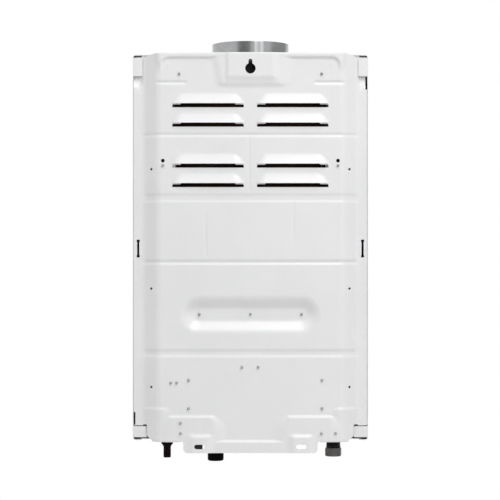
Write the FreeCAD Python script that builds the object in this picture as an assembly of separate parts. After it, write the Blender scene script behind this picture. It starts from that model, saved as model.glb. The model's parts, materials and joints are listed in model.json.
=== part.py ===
import FreeCAD, Part
import math
import os

vec = FreeCAD.Vector

# Wall-hung tankless gas water heater, in millimetres.
# X runs across the case, Y from the controls (-Y) to the wall (+Y), Z up.
# The origin is the centre of the hanging keyhole, on the face that meets the wall.

# fits
fit_gap = 0.3              # between plain parts that sit against each other
shaft_gap = 0.05           # radial running clearance of shafts and pins

# case
case_width = 332.0
case_top = 20.9            # top of the front cover above the keyhole
case_bottom = -522.5       # underside of the front cover
case_front = -172.0        # front face of the cover
case_edge = -21.0          # rear edge of the cover
case_sheet = 1.0
case_radius = 4.0          # drawn corners of the cover

# rear panel
panel_sheet = 1.0
panel_top = 22.8
panel_bottom = -524.0
panel_face = -6.0          # flat field, set back from the wall
flange_face = -22.0        # side flanges
slope_foot_half = case_width / 2 - 15.5
field_half = slope_foot_half - 20.7
corner_half = field_half + 8.2  # where the top and bottom edges end
corner_cut = 7.0
flange_top = 15.4          # the flanges pass behind the cover's corner tabs
flange_bottom = -501.8
joggle_depth = 3.2         # how far they drop there
notch_width = 1.6
notch_length = 18.0
low_notch_bottom = -501.0
high_notch_bottom = -28.0
joggle_start = -30.0
joggle_end = -15.0
edge_flange_depth = 20.0   # top and bottom edges turned forward
groove_draft_share = 0.3

full_grooves = [(-92.7, 5.0, 1.6), (-181.2, 11.0, 1.2), (-271.5, 6.5, 1.8), (-399.3, 10.0, 1.8)]

short_groove_height = -19.2
short_groove_width = 5.6
short_groove_depth = 1.5
short_groove_inner = 89.0

rim_face = -3.0
rim_bottom = 14.7
block_half = 47.5
block_bottom = -23.4
pad_half = 31.7
pad_bottom = -12.0
press_draft = 3.0

louvre_width = 101.3
louvre_centre = 59.4
louvre_lips = [-48.4, -75.6, -133.1, -160.4]
louvre_height = 14.5
louvre_rise = 4.8
louvre_top_inset = 10.5
louvre_end_run = 7.0
slot_height = 5.7
slot_end_height = 3.9
slot_end_length = 11.0

pocket_height = -345.0
pocket_centre_half = 72.0
pocket_radius = 24.0
pocket_floor_radius = 8.4
pocket_depth = 10.0

bead_width = 2.4
bead_depth = 0.7
beads = [(1.5, -97.0, -173.0), (63.0, -201.0, -264.0), (-60.5, -189.0, -240.0)]

foot_line = -488.0         # lower part of the panel stands proud below this line
foot_inner_half = 50.0
foot_outer_half = 115.0
foot_face = -3.0
slot_pad_half = 14.0
slot_pad_top = -511.0
slot_pad_bottom = -521.0

lip_bottom = -539.0
lip_half = 94.2
lip_radius = 6.0
lip_slot_spacing = 142.5
lip_slot_length = 14.8
lip_slot_width = 6.4
lip_slot_height = -530.2

keyhole_radius = 7.3
keyhole_neck_width = 5.5
keyhole_neck_top = 13.3

hook_slot_x = case_width / 2 - 7.7
hook_slot_height = -252.3
hook_slot_length = 25.0
hook_slot_width = 3.0
hook_slot_end_width = 4.4
hook_slot_end_length = 3.0
hook_setback = 4.0         # how far behind the flange the cover's hooks are joined to it

vent_hole_radius = 1.5
vent_hole_x = 139.5
vent_hole_heights = [-140.7, -308.7, -447.2]
dowel_hole_radius = 2.6
dowel_hole_x = field_half - 6.9
dowel_hole_height = -129.0

tab_width = 13.8
tab_height = 26.0
tab_top = 16.9
low_tab_width = 20.0
low_tab_height = 15.6
low_tab_top = -502.8

# tapping screws through the rear panel
bracket_sheet = 1.2
screw_radius = 1.9
screw_tip_reach = 4.0
screw_head_radius = 3.6
screw_head_height = 2.2
screw_hole_gap = 0.1
screw_pairs = [(100.0, -7.3), (115.5, 6.0)]
screw_below_dowel = 7.0
bracket_margin = (10.0, 12.0)  # plate below and above a column of screws
screw_columns = [87.0, -93.5]
screw_column_heights = [-437.2, -477.0]
single_screws = [(12.0, -418.8), (-11.0, -418.8), (112.0, -441.0), (103.5, -441.0),
                 (98.2, -497.3), (98.2, -511.7), (-99.5, -511.7), (-119.3, -511.7)]

# flue
flue_axis_y = -85.0
flue_radius = 55.0
flue_sheet = 0.9
flue_top = 41.7
flue_flange_width = 8.0
flue_shoulder = 1.0        # step that stops the flue pipe above the case
flue_hole_gap = 2.0

# draught hood
hood_sheet = 0.8
hood_top = 12.0
hood_bottom = -45.0
hood_roof_half = 72.0
hood_rear = -30.0
hood_front = -147.0
hood_shoulder = -18.0
hood_spill_height = 16.0
hood_arm_half = 9.0

# heat exchanger
burner_half = 96.0
chamber_half = burner_half + 4.0
core_half = chamber_half + 5.0
hood_half = core_half + 5.0
core_rear = -38.0
core_front = -142.0
core_height = 66.0
core_sheet = 1.0
tube_radius = 8.0
tube_count = 4
tube_pitch = 24.0
tube_level = -80.0
fin_count = 16
fin_thickness = 0.8
fin_margin = 6.0
chamber_rear = -41.0
chamber_front = -139.0
chamber_height = 150.0
coil_radius = 7.5
coil_rise = 26.0
riser_x = core_half + 23.0
pipe_bend = 15.0
pipe_sides = 8
bracket_reach = 40.0
bracket_half = 16.0
overheat_radius = 6.5
overheat_length = 20.0

# burner
burner_top = -268.0
burner_bar_height = 52.0
burner_bar_count = 10
burner_bar_width = 10.0
burner_rear = -46.0
burner_front = -134.0
burner_head_height = 24.0
tray_sheet = 1.2
tray_height = 40.0
port_count = 4
port_width = 2.0
port_depth = 3.0
bracket_wing = 14.0
electrode_pitch = 33.6
electrode_radius = 3.0
electrode_tip_radius = 1.0
electrode_length = 30.0
electrode_tip_length = 8.0
electrode_setback = 6.0
electrode_plate_thickness = 1.5

manifold_size = 16.0
manifold_y = -149.0
nozzle_radius = 3.2

# valves
valve_axis_y = -85.0
valve_level = -436.0
knob_pitch = 84.0
gas_barrel_radius = 19.0
gas_barrel_left = -40.0
gas_barrel_right = 50.0
water_disc_radius = 31.0
water_disc_left = 66.0
water_cover_thickness = 6.0
membrane_thickness = 1.6
water_disc_thickness = 12.0
water_barrel_radius = 14.0
water_barrel_right = 129.0
stem_radius = 2.0
stem_travel = 5.0
stem_hold = 14.0           # length of stem inside the gas valve
stem_collar_x = 61.0
stem_collar_radius = 4.5
stem_clear_radius = stem_radius + 1.55
spindle_seat = 9.0
outlet_x = -28.0
outlet_radius = 8.0
boss_reach = 43.0          # spindle bosses, forward of the valve axis
boss_radius = 10.0
nut_height = 9.0
union_nut = 24.0
membrane_bolts = 8
membrane_bolt_inset = 4.5
bolt_radius = 3.4
bolt_height = 3.0
switch_length = 20.0
switch_depth = 11.0
switch_height = 12.0
lever_pivot_rise = 27.0
lever_pin_radius = 0.8
ear_sheet = 1.5
lever_thickness = 1.0
season_radius = 11.0
season_length = 26.0
season_link_radius = 6.0
solenoid_radius = 12.0
solenoid_coil_radius = 9.5
solenoid_length = 28.0
water_bracket = (78.0, 120.0)
water_arm_x = 94.0
gas_bracket = (-18.0, 20.0)
gas_bracket_bottom = -428.0
gas_bracket_height = 20.0

# water and gas fittings
base_half = case_width / 2 - 10.0
hot_x = 36.4 - base_half
thread_radius = 10.48      # half-inch parallel pipe thread
cold_x = 79.0
gas_x = 50.1
drain_x = 120.1
nipple_wall = 2.8
nipple_shoulder = 0.8      # plain part of a fitting where it passes the base plate
nipple_shoulder_reach = 2.0
cold_end = -544.0
gas_end = -556.3
hot_thread_end = -539.3
pipe_foot = 12.0           # where the hot pipe meets its outlet, above the base plate
pipe_straight = 30.0       # straight run of the hot pipe above that
pipe_offset_height = 60.0  # where it leaves the riser
hex_across_flats = 22.0
hex_turn = 20.0            # degrees from corners square to the case
hex_height = 12.3
hex_bore_radius = 9.3
hex_bore_depth = 9.0
cap_wall = 1.0
cap_end_wall = 1.6
cap_height = 18.0

# base plate
base_sheet = 1.0
base_front = -158.0
base_upstand = 30.0
base_opening_margin = 12.0
base_vent_count = 8
base_vent_half = 120.0
base_vent_length = 10.0
fitting_hole_gap = 2.5

# drain plug
drain_head_radius = 8.5
drain_head_height = 7.0
drain_stem_radius = 5.35
drain_end = -553.6
drain_flutes = 6
drain_thread_radius = 4.0
drain_thread_length = 12.0
drain_seal_thickness = 1.5

# controls
knob_radius = 17.0
knob_depth = 17.0
knob_skirt_radius = 19.0
knob_grip_half = 4.5
spindle_radius = 3.5
spindle_hole_gap = 3.0
window_level = -388.0
window_width = 52.0
window_height = 24.0
window_glass = 1.5
sight_level = -292.0
sight_width = 58.0
sight_height = 14.0
control_half = case_width / 2 - 34.0
control_below = 32.0
control_above = 24.0
control_depth = 2.0
cover_screw_x = case_width / 2 - 16.5
cover_screw_y = -60.0
side_vent_count = 5
side_vent_bottom = -500.0
side_vent_pitch = 9.0
side_vent_height = 3.5
side_vent_front = -140.0
side_vent_length = 60.0

# igniter
igniter_rear = -28.0
igniter_depth = 28.0
igniter_left = -146.0
igniter_width = 58.0
igniter_bottom = -472.0
igniter_height = 60.0
igniter_bracket = (-116.0, -84.0)
terminal_count = 4
terminal_pitch = 12.0
terminal_size = 6.0

# battery box
battery_radius = 17.0
battery_length = 61.5
battery_box_wall = 1.6
battery_box_left = -84.0
battery_gap = 0.6
tongue_room = 2.0
door_thickness = 2.2
door_pin_radius = 1.5
battery_box_rear = -76.0
door_ear = 5.0
ear_half = 2.5             # ears round the door's pin, each way from its axis
ear_root = 1.0


def block(x, y, z):
    # Box between (low, high) pairs.
    return Part.makeBox(x[1] - x[0], y[1] - y[0], z[1] - z[0], vec(x[0], y[0], z[0]))


def bar(radius, start, end):
    # Round bar between two points.
    return Part.makeCylinder(radius, end.sub(start).Length, start, end.sub(start))


def ring_of(radius, sides, centre, direction, height=0.0):
    # Corner points of a flat-sided section across a direction, with flats square to the case.
    turn = FreeCAD.Rotation(vec(0, 0, 1), direction)
    angles = [2 * math.pi * (i + 0.5) / sides for i in range(sides)]
    return [centre + turn.multVec(vec(radius * math.cos(a), radius * math.sin(a), height)) for a in angles]


def sided_bar(radius, start, end, sides=12):
    # Bar with flat sides, for hidden parts that nothing turns in.
    return face(ring_of(radius, sides, start, end.sub(start))).extrude(end.sub(start))


def drilled(radius, start, end, sides=8):
    # Flat-sided hole that a round bar of the radius just passes.
    return sided_bar(radius / math.cos(math.pi / sides), start, end, sides)


def fused(pieces):
    return pieces[0].multiFuse(pieces[1:]).removeSplitter()


def mirrored(shape):
    return shape.mirror(vec(0, 0, 0), vec(1, 0, 0))


def both_sides(shape):
    return [shape, mirrored(shape)]


def face(points):
    return Part.Face(Part.makePolygon(points + points[:1]))


def stacked(sections):
    # Solid with flat walls through outlines that have equal point counts and parallel sides.
    faces = [face(sections[0]), face(sections[-1])]
    for lower, upper in zip(sections, sections[1:]):
        for i in range(len(lower)):
            j = (i + 1) % len(lower)
            faces.append(face([lower[i], lower[j], upper[j], upper[i]]))
    solid = Part.Solid(Part.makeShell(faces))
    if solid.Volume < 0:
        solid.reverse()
    return solid


def rear_outline(x, z, y, corner):
    # Rectangle with cut corners in a plane facing the wall.
    return [vec(x[0] + corner, y, z[0]), vec(x[1] - corner, y, z[0]),
            vec(x[1], y, z[0] + corner), vec(x[1], y, z[1] - corner),
            vec(x[1] - corner, y, z[1]), vec(x[0] + corner, y, z[1]),
            vec(x[0], y, z[1] - corner), vec(x[0], y, z[0] + corner)]


def pressed(x, z, base, top, draft, corner):
    # Drafted pad or recess: the given rectangle lies at the top face, and its walls run out to the base.
    wide_x = (x[0] - draft, x[1] + draft)
    wide_z = (z[0] - draft, z[1] + draft)
    beyond = base + math.copysign(2.0, base - top)
    return stacked([rear_outline(wide_x, wide_z, beyond, corner),
                    rear_outline(wide_x, wide_z, base, corner),
                    rear_outline(x, z, top, corner)])


def rounded_path(points, bend):
    # Each corner of the path is cut twice, on tangents of its bend.
    path = [points[0]]
    last = len(points) - 2
    for i, (before, corner, after) in enumerate(zip(points, points[1:], points[2:])):
        back = before.sub(corner)
        ahead = after.sub(corner)
        room = min(back.Length / (1 if i == 0 else 2), ahead.Length / (1 if i == last - 1 else 2))
        half_turn = back.getAngle(ahead) / 2
        radius = min(bend, room * math.tan(half_turn))
        arc = math.pi - 2 * half_turn
        tangent = radius / math.tan(half_turn) - radius * math.tan(arc / 4)
        path += [corner + back.normalize() * tangent, corner + ahead.normalize() * tangent]
    return path + [points[-1]]


def bent_pipe(points, radius, bend):
    # Inner pipes have flat sides and mitred bends, so that they stay light.
    path = rounded_path(points, bend)
    heading = path[1].sub(path[0]).normalize()
    ring = ring_of(radius, pipe_sides, path[0], heading)
    rings = [ring]
    for i in range(1, len(path)):
        leaving = path[i + 1].sub(path[i]).normalize() if i + 1 < len(path) else heading
        mitre = heading + leaving
        ring = [p + heading * (path[i].sub(p).dot(mitre) / heading.dot(mitre)) for p in ring]
        rings.append(ring)
        heading = leaving
    return stacked(rings)


def turned(profile, centre, direction):
    # Solid of revolution from (radius, distance along the axis) points.
    outline = face([vec(r, 0, h) for r, h in profile])
    solid = outline.revolve(vec(0, 0, 0), vec(0, 0, 1), 360)
    solid.Placement = FreeCAD.Placement(centre, FreeCAD.Rotation(vec(0, 0, 1), direction))
    return solid


def faceted(profile, centre, direction, sides=8):
    # Small turned part with flat sides, from (radius, distance along the axis) points above zero radius.
    return stacked([ring_of(radius, sides, centre, direction, height) for radius, height in profile])


def hexagon_bar(across_flats, start, height, turn=0.0):
    corner = across_flats / math.sqrt(3)
    angles = [math.radians(60 * i + turn) for i in range(6)]
    points = [start + vec(corner * math.cos(a), corner * math.sin(a), 0) for a in angles]
    return face(points).extrude(vec(0, 0, height))


# rear panel

def panel_section(height, inset):
    # Outline of the panel's form in plan: flange, slope, field, slope, flange.
    slope_run = (slope_foot_half - field_half) / (panel_face - flange_face)
    foot = slope_foot_half - inset * slope_run
    outer = case_width / 2 + 5
    inside = flange_face - 40
    right = [vec(outer, flange_face, height), vec(foot, flange_face, height),
             vec(field_half, panel_face - inset, height)]
    left = [vec(-p.x, p.y, p.z) for p in reversed(right)]
    return right + left + [vec(-outer, inside, height), vec(outer, inside, height)]


def panel_core():
    # The panel's main form, crossed by the grooves that stiffen it.
    sections = [panel_section(panel_top + 5, 0)]
    for centre, width, depth in full_grooves:
        draft = width * groove_draft_share
        sections.append(panel_section(centre + width / 2, 0))
        sections.append(panel_section(centre + width / 2 - draft, depth))
        sections.append(panel_section(centre - width / 2 + draft, depth))
        sections.append(panel_section(centre - width / 2, 0))
    sections.append(panel_section(lip_bottom - 5, 0))
    return stacked(sections)


def louvre_hood(centre_x, lip):
    # Hood that rises from the field down to its lip, with closed ends.
    def outline(height, half, top_half, rise):
        return [vec(centre_x - half, panel_face - 2, height), vec(centre_x - half, panel_face, height),
                vec(centre_x - top_half, panel_face + rise, height),
                vec(centre_x + top_half, panel_face + rise, height),
                vec(centre_x + half, panel_face, height), vec(centre_x + half, panel_face - 2, height)]
    half = louvre_width / 2
    narrow = half - louvre_top_inset
    rise_share = 0.06
    return stacked([outline(lip, half, half - louvre_end_run, louvre_rise),
                    outline(lip + louvre_height, narrow, narrow - louvre_end_run * rise_share,
                            louvre_rise * rise_share)])


def louvre_slot(centre_x, lip):
    half = louvre_width / 2 - 0.5
    shoulder = half - slot_end_length
    # The lower edge is straight, and the ends are narrower at the top.
    drop = slot_end_height - slot_height
    points = [(-half, -slot_height), (half, -slot_height), (half, drop - 1), (half - 1, drop),
              (shoulder, drop), (shoulder - 2, 0), (-shoulder + 2, 0),
              (-shoulder, drop), (-half + 1, drop), (-half, drop - 1)]
    outline = face([vec(centre_x + x, panel_face - 5, lip + z) for x, z in points])
    return outline.extrude(vec(0, 5 + louvre_rise / 2, 0))


def tool_pocket():
    # Long recess with round ends, whose floor carries the burner bracket.
    floor = panel_face - pocket_depth
    extra = 2.0
    slope = (pocket_radius - pocket_floor_radius) / pocket_depth
    mouth = pocket_radius + extra * slope
    pieces = []
    for side in (-1, 1):
        centre = vec(side * pocket_centre_half, floor, pocket_height)
        pieces.append(Part.makeCone(pocket_floor_radius, mouth, pocket_depth + extra, centre, vec(0, 1, 0)))

    def outline(x):
        return [vec(x, floor, pocket_height - pocket_floor_radius),
                vec(x, floor, pocket_height + pocket_floor_radius),
                vec(x, panel_face + extra, pocket_height + mouth),
                vec(x, panel_face + extra, pocket_height - mouth)]
    pieces.append(stacked([outline(-pocket_centre_half), outline(pocket_centre_half)]))
    return fused(pieces)


def short_groove(side):
    # Groove from the slope's foot to its inner end, following the slope.
    slope_run = (slope_foot_half - field_half) / (panel_face - flange_face)
    draft = short_groove_width * groove_draft_share

    def outline(height, depth):
        above = 4.0
        points = [vec(short_groove_inner, panel_face + above, height),
                  vec(short_groove_inner, panel_face - depth, height),
                  vec(field_half, panel_face - depth, height),
                  vec(slope_foot_half - depth * slope_run, flange_face, height),
                  vec(slope_foot_half + above * slope_run, flange_face, height),
                  vec(field_half, panel_face + above, height)]
        return [vec(side * p.x, p.y, p.z) for p in points]
    half = short_groove_width / 2
    return stacked([outline(short_groove_height - half, -0.01),
                    outline(short_groove_height - half + draft, short_groove_depth),
                    outline(short_groove_height + half - draft, short_groove_depth),
                    outline(short_groove_height + half, -0.01)])


def bead(x, top, bottom):
    # Narrow straight groove down the field.
    half = bead_width / 2
    return pressed((x - half / 3, x + half / 3), (bottom, top), panel_face,
                   panel_face - bead_depth, half * 2 / 3, 0.1)


def corner_joggle(side):
    # Space above the top end of a flange, where it drops to pass behind the cover's tab.
    near = side * (slope_foot_half + 0.7)
    far = side * (case_width / 2 + 4)
    profile = [(flange_face, joggle_start), (flange_face - joggle_depth, joggle_end),
               (flange_face - joggle_depth, panel_top + 6), (flange_face + 2, panel_top + 6),
               (flange_face + 2, joggle_start)]
    return face([vec(near, y, z) for y, z in profile]).extrude(vec(far - near, 0, 0))


def panel_form():
    top = panel_top + 8
    low = lip_bottom - 8
    raised = [pressed((-corner_half, corner_half), (rim_bottom, top), panel_face, rim_face, press_draft, 1.0),
              pressed((-block_half, block_half), (block_bottom, top), panel_face, rim_face, press_draft, 4.0),
              pressed((-pad_half, pad_half), (pad_bottom, top), rim_face, 0.0, press_draft, 5.0)]
    for side in (-1, 1):
        for lip in louvre_lips:
            raised.append(louvre_hood(side * louvre_centre, lip))
        foot = sorted((side * foot_inner_half, side * foot_outer_half))
        raised.append(pressed(foot, (low, foot_line), panel_face, foot_face, press_draft, 3.0))
        pad_x = side * lip_slot_spacing / 2
        pad = (pad_x - slot_pad_half, pad_x + slot_pad_half)
        raised.append(pressed(pad, (low, slot_pad_bottom), foot_face, 0.0, press_draft, 3.0))
    form = panel_core().multiFuse(raised)
    sunk = [tool_pocket(), short_groove(-1), short_groove(1), corner_joggle(-1), corner_joggle(1)]
    sunk += [bead(x, top, bottom) for x, top, bottom in beads]
    return form.cut(sunk)


def panel_outline():
    # Outline of the cut blank, as half of a closed polygon from top to bottom.
    edge = case_width / 2 - case_sheet - fit_gap
    foot = slope_foot_half
    half = [(corner_half, panel_top), (foot - 5, panel_top - 1), (foot - 3.1, case_top - case_sheet - 0.4),
            (foot, case_top - case_sheet - 1.3), (foot + 1, flange_top), (edge - case_radius * 0.65,
                                                                          flange_top),
            (edge - 1.5, flange_top - 3.3), (edge, flange_top - 6.4),
            (edge, flange_bottom), (low_tab_inner(), flange_bottom),
            (low_tab_inner(), panel_bottom + corner_cut), (low_tab_inner() - corner_cut, panel_bottom),
            (lip_half + lip_radius, panel_bottom), (lip_half, panel_bottom - lip_radius),
            (lip_half, lip_bottom + lip_radius * 0.4), (lip_half - lip_radius * 0.4, lip_bottom)]
    points = [vec(x, 5, z) for x, z in half] + [vec(-x, 5, z) for x, z in reversed(half)]
    return face(points).extrude(vec(0, -45, 0))


def low_tab_inner():
    return case_width / 2 - low_tab_width - fit_gap


def screw_places():
    # Screws that hold the inner brackets to the rear panel: (x, z).
    pairs = screw_pairs + [(dowel_hole_x, dowel_hole_height - screw_below_dowel)]
    places = [(side * x, z) for x, z in pairs for side in (-1, 1)]
    places += [(side * pocket_centre_half, pocket_height) for side in (-1, 0, 1)]
    places += [(x, z) for x in screw_columns for z in screw_column_heights]
    return places + single_screws


def screw_hole(x, z, y=(3.0, -40.0)):
    return drilled(screw_radius + screw_hole_gap, vec(x, y[0], z), vec(x, y[1], z))


def outer_face_at(x, z):
    # Level of the panel's outer face at a screw.
    if abs(z - pocket_height) < 1:
        return panel_face - pocket_depth
    if z < foot_line - press_draft and foot_inner_half < abs(x) < foot_outer_half:
        return foot_face
    return panel_face


def slotted(centre, length, width, depth):
    # Round-ended slot along X, cut along Y.
    half = (length - width) / 2
    ends = [bar(width / 2, centre + vec(s * half, depth / 2, 0), centre + vec(s * half, -depth / 2, 0))
            for s in (-1, 1)]
    middle = block((centre.x - half, centre.x + half), (centre.y - depth / 2, centre.y + depth / 2),
                   (centre.z - width / 2, centre.z + width / 2))
    return fused(ends + [middle])


def hook_slot(x):
    # Narrow slot with a wider notch at each end.
    low = hook_slot_height - hook_slot_length / 2
    high = hook_slot_height + hook_slot_length / 2
    y = (flange_face - 4, flange_face + 4)
    return [block((x - width / 2, x + width / 2), y, z)
            for width, z in ((hook_slot_width, (low, high)),
                             (hook_slot_end_width, (low, low + hook_slot_end_length)),
                             (hook_slot_end_width, (high - hook_slot_end_length, high)))]


def relief_notches():
    # Narrow nicks in a flange's edge where the blank bends.
    edge = case_width / 2 - case_sheet - fit_gap
    y = (flange_face - joggle_depth - 4, flange_face + 4)
    return [block(sorted((side * (edge - notch_width), side * (edge + 1))), y, (low, low + notch_length))
            for side, low in ((1, low_notch_bottom), (-1, high_notch_bottom))]


def panel_cuts():
    cuts = [bar(keyhole_radius, vec(0, 5, 0), vec(0, -8, 0)),
            block((-keyhole_neck_width / 2, keyhole_neck_width / 2), (-8, 5), (0, keyhole_neck_top))]
    for side in (-1, 1):
        cuts += [louvre_slot(side * louvre_centre, lip) for lip in louvre_lips]
        cuts.append(slotted(vec(side * lip_slot_spacing / 2, 0, lip_slot_height), lip_slot_length,
                            lip_slot_width, 24))
        cuts += hook_slot(side * hook_slot_x)
        x = side * vent_hole_x
        cuts += [drilled(vent_hole_radius, vec(x, 0, z), vec(x, -30, z)) for z in vent_hole_heights]
        x = side * dowel_hole_x
        cuts.append(drilled(dowel_hole_radius, vec(x, 0, dowel_hole_height), vec(x, -20, dowel_hole_height)))
    return cuts + relief_notches() + [screw_hole(x, z) for x, z in screw_places()]


def back_plate():
    form = panel_form()
    inner = form.translated(vec(0, -panel_sheet, 0))
    sheet = form.cut(inner).common(panel_outline())
    inside = panel_face - panel_sheet
    edges = [block((-corner_half, corner_half), (inside - edge_flange_depth, rim_face),
                   (panel_top - panel_sheet, panel_top))]
    low = (panel_bottom, panel_bottom + panel_sheet)
    for side in (-1, 1):
        x = sorted((side * (lip_half + lip_radius), side * (low_tab_inner() - corner_cut)))
        edges.append(block(x, (inside - edge_flange_depth, inside + panel_sheet / 2), low))
    return fused([sheet] + edges).cut(panel_cuts())


def screw_profile(seat, shank_end, tip):
    # Pan head below the seat, plain shank and a point.
    return [(screw_head_radius, seat - screw_head_height), (screw_head_radius, seat), (screw_radius, seat),
            (screw_radius, shank_end), (screw_radius * 0.2, tip)]


def chassis_screws():
    screws = []
    for x, z in screw_places():
        face_level = outer_face_at(x, z)
        seat = min(face_level, panel_face) - panel_sheet - bracket_sheet - fit_gap
        screws.append(faceted(screw_profile(seat, face_level + 0.8, face_level + screw_tip_reach),
                              vec(x, 0, z), vec(0, 1, 0), 6))
    return Part.makeCompound(screws)


# front cover

def cover_form(inset):
    # The drawn cover as a solid, inset by the sheet for its inside.
    half = case_width / 2 - inset
    body = block((-half, half), (case_front + inset, case_edge + (10 if inset else 0)),
                 (case_bottom + inset, case_top - inset))
    corners = [e for e in body.Edges if abs(e.Length - (body.BoundBox.YLength)) < 0.01]
    front = [e for e in body.Edges if abs(e.BoundBox.YMax - (case_front + inset)) < 0.01]
    return body.makeFillet(case_radius - inset, corners + front)


def control_recess(inset):
    # Shallow drafted recess behind the knobs and the display.
    x = (-control_half, control_half)
    z = (valve_level - control_below, window_level + control_above)
    floor = case_front + control_depth + inset
    return stacked([rear_outline((x[0] - 2, x[1] + 2), (z[0] - 2, z[1] + 2), case_front - 2, 8.0),
                    rear_outline((x[0] - 2, x[1] + 2), (z[0] - 2, z[1] + 2), case_front + inset, 8.0),
                    rear_outline(x, z, floor, 8.0)])


def cover_openings():
    cuts = [drilled(flue_radius + flue_hole_gap, vec(0, flue_axis_y, 0), vec(0, flue_axis_y,
                                                                             case_top + 5), 32)]
    half = base_half - base_opening_margin
    cuts.append(block((-half, half), (base_front + base_opening_margin, case_edge + 1),
                      (case_bottom - 2, case_bottom + 4)))
    front = (case_front - 5, case_front + 12)
    for level, width, height in ((window_level, window_width, window_height),
                                 (sight_level, sight_width, sight_height)):
        cuts.append(block((-width / 2, width / 2), front, (level - height / 2, level + height / 2)))
    for x in knob_places():
        cuts.append(drilled(spindle_radius + spindle_hole_gap, vec(x, front[0], valve_level),
                            vec(x, front[1], valve_level), 12))
    for side in (-1, 1):
        x = side * cover_screw_x
        cuts.append(drilled(screw_radius + screw_hole_gap, vec(x, cover_screw_y, case_bottom - 2),
                            vec(x, cover_screw_y, case_bottom + 4)))
        x = sorted((side * (case_width / 2 - 4), side * (case_width / 2 + 2)))
        y = (side_vent_front, side_vent_front + side_vent_length)
        for i in range(side_vent_count):
            z = side_vent_bottom + i * side_vent_pitch
            cuts.append(block(x, y, (z, z + side_vent_height)))
    return cuts


def cover_tabs():
    # Corner returns that lie behind the ends of the side flanges, and hooks for the flange slots.
    half = case_width / 2
    tabs = []
    for width, top, height in ((tab_width, tab_top, tab_height), (low_tab_width, low_tab_top,
                                                                  low_tab_height)):
        tabs.append(block((half - width, half - case_sheet / 2), (case_edge - case_sheet, case_edge),
                          (top - height, top)))
    high = flange_face - panel_sheet - hook_setback
    thin = case_sheet / 2
    hook_z = (hook_slot_height - hook_slot_length / 2 + 4, hook_slot_height + hook_slot_length / 2 - 4)
    tabs.append(block((hook_slot_x - thin, half - thin), (high - case_sheet, high), hook_z))
    tabs.append(block((hook_slot_x - thin, hook_slot_x + thin), (high - case_sheet, flange_face - 0.2),
                      hook_z))
    return [piece for tab in tabs for piece in both_sides(tab)]


def front_cover():
    outside = cover_form(0).cut(control_recess(0))
    inside = cover_form(case_sheet).cut(control_recess(case_sheet))
    return fused([outside.cut(inside)] + cover_tabs()).cut(cover_openings())


def cover_screws():
    top = base_level() + base_sheet
    profile = screw_profile(case_bottom, top + 1, top + screw_tip_reach)
    return Part.makeCompound([faceted(profile, vec(side * cover_screw_x, cover_screw_y, 0), vec(0, 0, 1))
                              for side in (-1, 1)])


def knob_places():
    return (-knob_pitch, 0, knob_pitch)


# flue and draught hood

def flue_collar():
    # Rolled collar with a foot flange, a shoulder that stops the flue pipe and a turned rim.
    low = hood_top
    out = flue_radius
    foot = flue_radius + flue_shoulder
    stop = panel_top + fit_gap
    profile = [(foot - flue_sheet, low), (out + flue_flange_width, low),
               (out + flue_flange_width, low + flue_sheet), (foot, low + flue_sheet), (foot,
                                                                                       stop - flue_shoulder),
               (out, stop), (out, flue_top - 0.6), (out - 0.3, flue_top), (out - flue_sheet, flue_top),
               (out - flue_sheet, stop), (foot - flue_sheet, stop - flue_shoulder)]
    return turned(profile, vec(0, flue_axis_y, 0), vec(0, 0, 1))


def hood_shape(inset):
    # Folded hood in front view: straight sides, sloping shoulders and a flat roof.
    half = hood_half - inset
    roof = hood_roof_half - inset * 0.6
    low = hood_bottom - (1 if inset else 0)
    points = [(-half, low), (half, low), (half, hood_shoulder), (roof, hood_top - inset),
              (-roof, hood_top - inset), (-half, hood_shoulder)]
    outline = face([vec(x, hood_rear - inset, z) for x, z in points])
    return outline.extrude(vec(0, hood_front - hood_rear + 2 * inset, 0))


def draft_hood():
    hood = hood_shape(0).cut(hood_shape(hood_sheet))
    hole = drilled(flue_radius - flue_sheet, vec(0, flue_axis_y, hood_top - 5),
                   vec(0, flue_axis_y, hood_top + 5), 32)
    spill = block((-hood_roof_half, hood_roof_half), (hood_rear - 5, hood_rear + 5),
                  (hood_bottom + 4, hood_bottom + 4 + hood_spill_height))
    foot = panel_face - panel_sheet - fit_gap
    screw_x, screw_z = screw_pairs[0]
    low = screw_z - hood_arm_half
    arms = []
    for side in (-1, 1):
        x = (side * screw_x - hood_arm_half, side * screw_x + hood_arm_half)
        arms.append(block(x, (hood_rear - hood_sheet, foot), (low, low + bracket_sheet)))
        arms.append(block(x, (foot - bracket_sheet, foot), (low, screw_z + hood_arm_half - 2)))
    holes = [screw_hole(side * screw_x, screw_z, (0.0, panel_face - 8)) for side in (-1, 1)]
    return fused([hood] + arms).cut([hole, spill] + holes)


# heat exchanger

def core_top():
    return hood_bottom - fit_gap


def core_bottom():
    return core_top() - core_height


def tube_places():
    first = (core_rear + core_front) / 2 + tube_pitch * (tube_count - 1) / 2
    return [first - i * tube_pitch for i in range(tube_count)]


def exchanger_shell():
    # Open copper frame around the fins, with holes for the tubes in its ends.
    outside = block((-core_half, core_half), (core_front, core_rear), (core_bottom(), core_top()))
    hollow = block((-core_half + core_sheet, core_half - core_sheet),
                   (core_front + core_sheet, core_rear - core_sheet), (core_bottom() - 1, core_top() + 1))
    far = core_half + 5
    holes = [drilled(tube_radius + shaft_gap, vec(-far, y, tube_level), vec(far, y, tube_level))
             for y in tube_places()]
    return outside.cut([hollow] + holes)


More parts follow.
